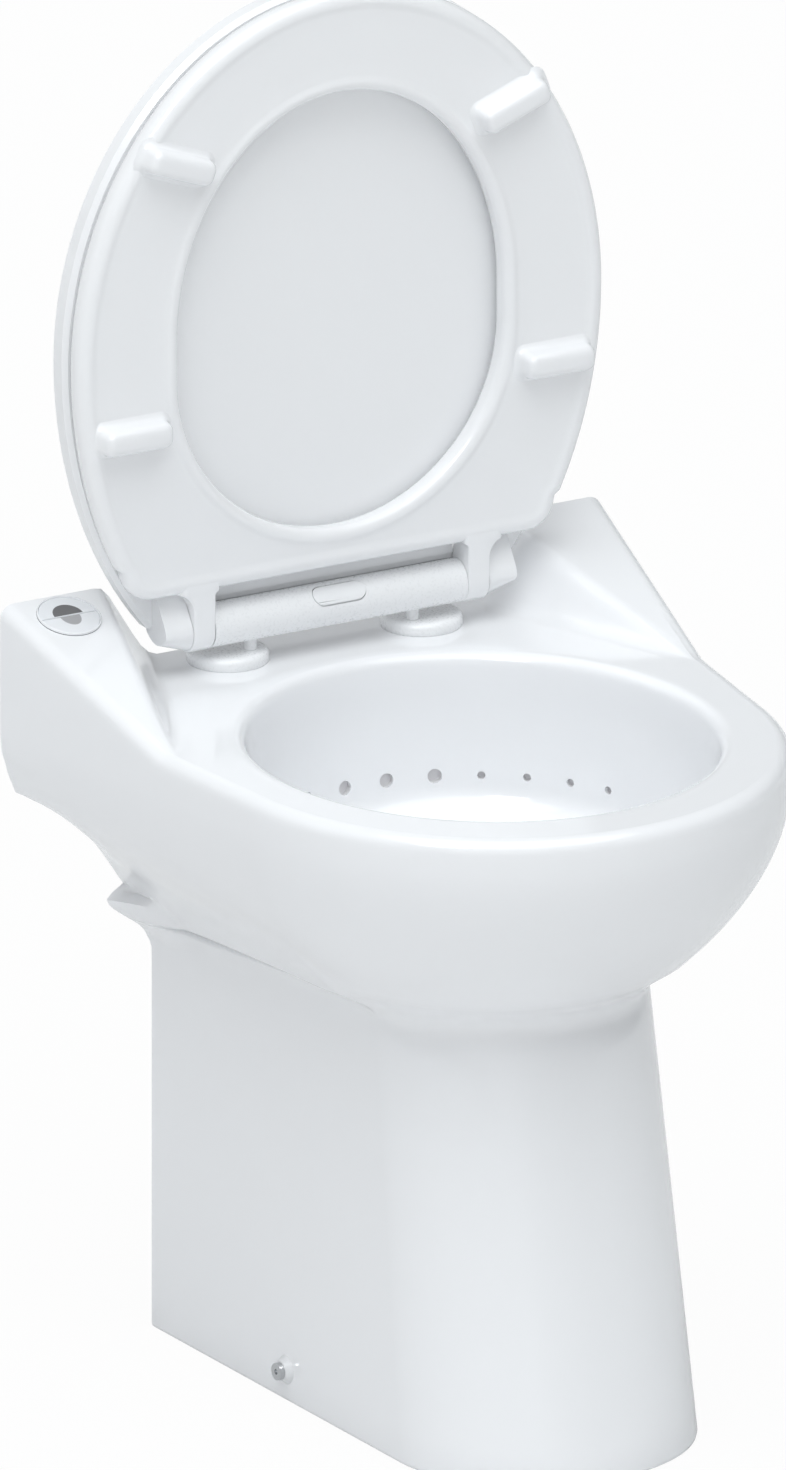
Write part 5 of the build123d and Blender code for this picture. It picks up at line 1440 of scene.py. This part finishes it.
    def pad_ring(self, middle: Vector, across: Vector, up: Vector, shrink: float) -> list[Vector]:
        """Points of a rounded oblong round one pad.

        Args:
            middle: its middle.
            across: direction of its short side.
            up: direction of its long side.
            shrink: how much smaller it is than the pad's foot.

        Returns:
            The points.
        """
        half_long, half_short, corner = 24.0 - shrink, 8.5 - shrink, max(5.6 - shrink * 0.6, 0.9)
        points = []
        for turn_x, turn_z, start in ((1, 1, 0.0), (-1, 1, 90.0), (-1, -1, 180.0), (1, -1, 270.0)):
            for angle in sweep(start, 90.0, 8):
                bend = math.radians(angle)
                wide = turn_x * (half_long - corner) + corner * math.cos(bend)
                tall = turn_z * (half_short - corner) + corner * math.sin(bend)
                points.append(middle + (across * wide + up * tall) * MM)
        return points


@dataclass
class Hinge:
    """The bar hinge on the deck: discs with a soft edge round the feet of the studs."""

    disc: float = 25.5
    height: float = 7.9
    apart: float = 67.9
    y: float = 185.5

    def build(self) -> None:
        """Make the two discs."""
        work = Work()
        disc, top = self.disc, self.height
        profile = [(0.0, 0.0), (disc - 0.4, 0.0), (disc, 0.5), (disc, top - 3.2), (disc - 0.5, top - 1.8)]
        profile += [(disc - 1.6, top - 0.6), (disc - 3.4, top - 0.1), (disc - 6.0, top), (0.0, top)]
        for side in (-1, 1):
            work.join(Work().lathe(profile, 80, Matrix.Translation(place(side * self.apart, self.y, RIM))))
        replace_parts(work.piece("hinge_deck_discs", HINGE_PLASTIC, Body.PAN), "hinge_discs")


@dataclass
class SmoothedNodes:
    """Solids whose form is right: a merged copy with soft edges stands for each of them."""

    widths: dict[str, float]
    button: float = 14.08
    strip: float = 14.15
    strip_half: float = 88.5
    knuckle_from: float = 119.0
    knuckle: float = 14.0

    def build(self) -> None:
        """Make the copies."""
        for node, width in self.widths.items():
            self.copy(node, width)

    def copy(self, node: str, width: float) -> bpy.types.Object:
        """Make a merged copy of a node with rounded edges.

        Args:
            node: name of the node.
            width: width of the rounding in millimetres.

        Returns:
            The copy.
        """
        source = frame["nodes"][node]
        work = Work()
        work.mesh.from_mesh(source.data)
        bmesh.ops.remove_doubles(work.mesh, verts=work.mesh.verts[:], dist=0.02 * MM)
        bmesh.ops.dissolve_limit(work.mesh, angle_limit=0.01, verts=work.mesh.verts[:], edges=work.mesh.edges[:])
        bmesh.ops.recalc_face_normals(work.mesh, faces=work.mesh.faces[:])
        if node == "release_button":
            self.flush_with_bar(work)
        if node == "lid":
            self.narrow(work)
            self.apron(work)
        finish = HINGE_PLASTIC if node == "hinge_studs" else FINISHES[SLOTS[node]]
        made = work.piece(node + "_softened", finish, BODIES.get(node, Body.PAN), 0.55)
        soften = made.modifiers.new("soften", "BEVEL")
        soften.width = width * MM
        soften.segments = 3
        soften.limit_method = "ANGLE"
        soften.angle_limit = 0.6
        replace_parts(made, node)
        return made

    def narrow(self, work: Work) -> None:
        """Let the lower half of the lid's knuckles narrow outwards."""
        for vertex in work.mesh.verts:
            high = vertex.co.z / MM
            if abs(vertex.co.x) > self.knuckle_from * MM and high < AXIS_Z:
                below = (AXIS_Z - high) / self.knuckle
                vertex.co.z = (AXIS_Z - 0.52 * (AXIS_Z - high)) * MM
                vertex.co.y = (AXIS_Y + (vertex.co.y / MM - AXIS_Y) * (1 - 0.35 * below)) * MM

    def flush_with_bar(self, work: Work) -> None:
        """Lay the button's face just proud of the bar, so that the lid's strip passes over it."""
        for vertex in work.mesh.verts:
            y, z = vertex.co.y / MM - AXIS_Y, vertex.co.z / MM - AXIS_Z
            share = min(self.button / math.hypot(y, z), 1.0)
            vertex.co.y, vertex.co.z = (AXIS_Y + y * share) * MM, (AXIS_Z + z * share) * MM

    def apron(self, work: Work) -> None:
        """Add the strip of the lid that reaches down behind the hinge bar and keeps clear of it."""
        turns = [math.radians(angle) for angle in sweep(59.0, -49.0, 8)]
        profile = [(183.8, 479.0), (183.8, 474.2)] + arc((AXIS_Y, AXIS_Z), (self.strip, self.strip), turns)
        profile += [(193.6, 464.6), (195.0, 466.2), (195.2, 479.0)]
        ends = (-self.strip_half, self.strip_half)
        work.join(Work().stack([[place(x, y, z) for y, z in profile] for x in ends]))


@dataclass
class Insides:
    """The pump unit and all other solids that keep their own mesh: each gets its finish."""

    def dress(self) -> None:
        """Give every node the finish of its slot."""
        for node, made in frame["nodes"].items():
            finish = FINISHES[SLOTS[node]].material()
            if made.material_slots:
                for slot in made.material_slots:
                    slot.material = finish
            else:
                made.data.materials.append(finish)
            report.info("dressed %s in %s", node, finish.name)


@dataclass
class Studio:
    """Camera, light and floor."""

    width_of_view: float = 0.90184
    eye: Triple = (-5.065, -9.001, 4.068)
    aim: Triple = (0.1049, 0.2875, 0.3237)
    sky: float = 0.49
    sun_level: float = 1.74
    sun_from: Triple = (-0.1, -0.26, 1.0)
    fill_level: float = 0.22
    fill_from: Triple = (-0.35, -0.8, 0.42)
    floor_tone: float = 0.8
    floor_glow: float = 0.95

    def build(self) -> None:
        """Make camera, light and floor."""
        self.camera()
        self.world()
        self.sun("sun", self.sun_level, 1.1, self.sun_from)
        self.sun("fill", self.fill_level, 0.9, self.fill_from)
        self.light("overhead", (-0.5, -0.6, 2.6), (0.0, 0.0, 0.3), 1.1, 4.0)
        self.light("gloss", (-1.6, -1.2, 2.6), (0.0, 0.0, 0.5), 0.9, 26.0).visible_diffuse = False
        self.floor()
        bpy.context.scene.view_settings.view_transform = "Standard"

    def camera(self) -> None:
        """Set the camera of the photograph."""
        data = bpy.data.cameras.new("camera")
        data.type = "ORTHO"
        data.ortho_scale = self.width_of_view
        data.clip_end = 100.0
        made = stand("camera", data)
        made.location = self.eye
        made.rotation_euler = (Vector(self.aim) - Vector(self.eye)).to_track_quat("-Z", "Y").to_euler()
        bpy.context.scene.camera = made

    def world(self) -> None:
        """Sky light that is dimmer towards the right, and white to the camera."""
        made = bpy.data.worlds.new("studio")
        made.use_nodes = True
        bpy.context.scene.world = made
        tree = made.node_tree
        shine = fill(tree.nodes["Background"], Color=(0.97, 0.985, 1.0, 1.0))
        path = add_node(tree, "LightPath")
        seen = add_node(tree, "Math")
        seen.operation = "MAXIMUM"
        level = add_node(tree, "MapRange")
        spot = add_node(tree, "TexCoord")
        split = add_node(tree, "SeparateXYZ")
        dim = add_node(tree, "MapRange", From_Min=-0.6, From_Max=0.9, To_Min=self.sky * 1.12, To_Max=self.sky * 0.45)
        links = (
            (spot, "Generated", split, "Vector"),
            (split, "X", dim, "Value"),
            (dim, "Result", level, "To Min"),
            (path, "Is Camera Ray", seen, 0),
            (path, "Is Transmission Ray", seen, 1),
            (seen, "Value", level, "Value"),
            (level, "Result", shine, "Strength"),
        )
        wire(tree, links)

    def sun(self, name: str, level: float, angle: float, direction: Triple) -> None:
        """Add a soft light from far away.

        Args:
            name: name of the light.
            level: its strength.
            angle: its width in radians.
            direction: where it comes from.
        """
        data = bpy.data.lights.new(name, "SUN")
        data.energy = level
        data.angle = angle
        data.color = (0.95, 0.985, 1.0)
        made = stand(name, data)
        made.rotation_euler = Vector(direction).to_track_quat("Z", "Y").to_euler()

    def light(self, name: str, spot: Triple, aim: Triple, size: float, power: float) -> bpy.types.Object:
        """Add a soft square light.

        Args:
            name: its name.
            spot: where it is, in metres.
            aim: what it shines at.
            size: its side in metres.
            power: its power in watts.

        Returns:
            The light.
        """
        data = bpy.data.lights.new(name, "AREA")
        data.shape = "SQUARE"
        data.size = size
        data.energy = power
        made = stand(name, data)
        made.location = spot
        made.rotation_euler = (Vector(aim) - Vector(spot)).to_track_quat("-Z", "Y").to_euler()
        return made

    def floor(self) -> None:
        """Lay the pale floor that keeps the shadow."""
        mesh = bmesh.new()
        bmesh.ops.create_grid(mesh, x_segments=8, y_segments=8, size=40.0)
        data = bpy.data.meshes.new("floor")
        mesh.to_mesh(data)
        mesh.free()
        tone = (self.floor_tone,) * 3
        paint = Finish("floor_paint", tone, tone, 0.7, 0.8, Surface.GLAZE, scale=3.0, depth=0.0).material()
        self.whiten(paint)
        data.materials.append(paint)
        made = stand("floor", data)

    def whiten(self, paint: bpy.types.Material) -> None:
        """Let the camera see the floor nearly white, with its shadow kept faint.

        Args:
            paint: the floor's material.
        """
        tree = paint.node_tree
        result = tree.nodes["Material Output"]
        shader = tree.nodes["Principled BSDF"]
        glow = add_node(tree, "Emission")
        path = add_node(tree, "LightPath")
        share = add_node(tree, "Math")
        share.operation = "MULTIPLY"
        share.inputs[1].default_value = self.floor_glow
        mixed = add_node(tree, "MixShader")
        links = (
            (path, "Is Camera Ray", share, 0),
            (share, "Value", mixed, "Fac"),
            (shader, "BSDF", mixed, 1),
            (glow, "Emission", mixed, 2),
            (mixed, "Shader", result, "Surface"),
        )
        wire(tree, links)


def main() -> None:
    """Build everything in order."""
    logging.basicConfig(level=logging.INFO, format="%(message)s")
    Studio().build()
    Insides().dress()
    GlazedShell().build()
    BUTTON.build()
    Seat().build()
    Hinge().build()
    SmoothedNodes({"lid": 1.2, "hinge_bar": 0.5, "release_button": 0.4, "hinge_studs": 0.3}).build()


if __name__ == "__main__":
    main()
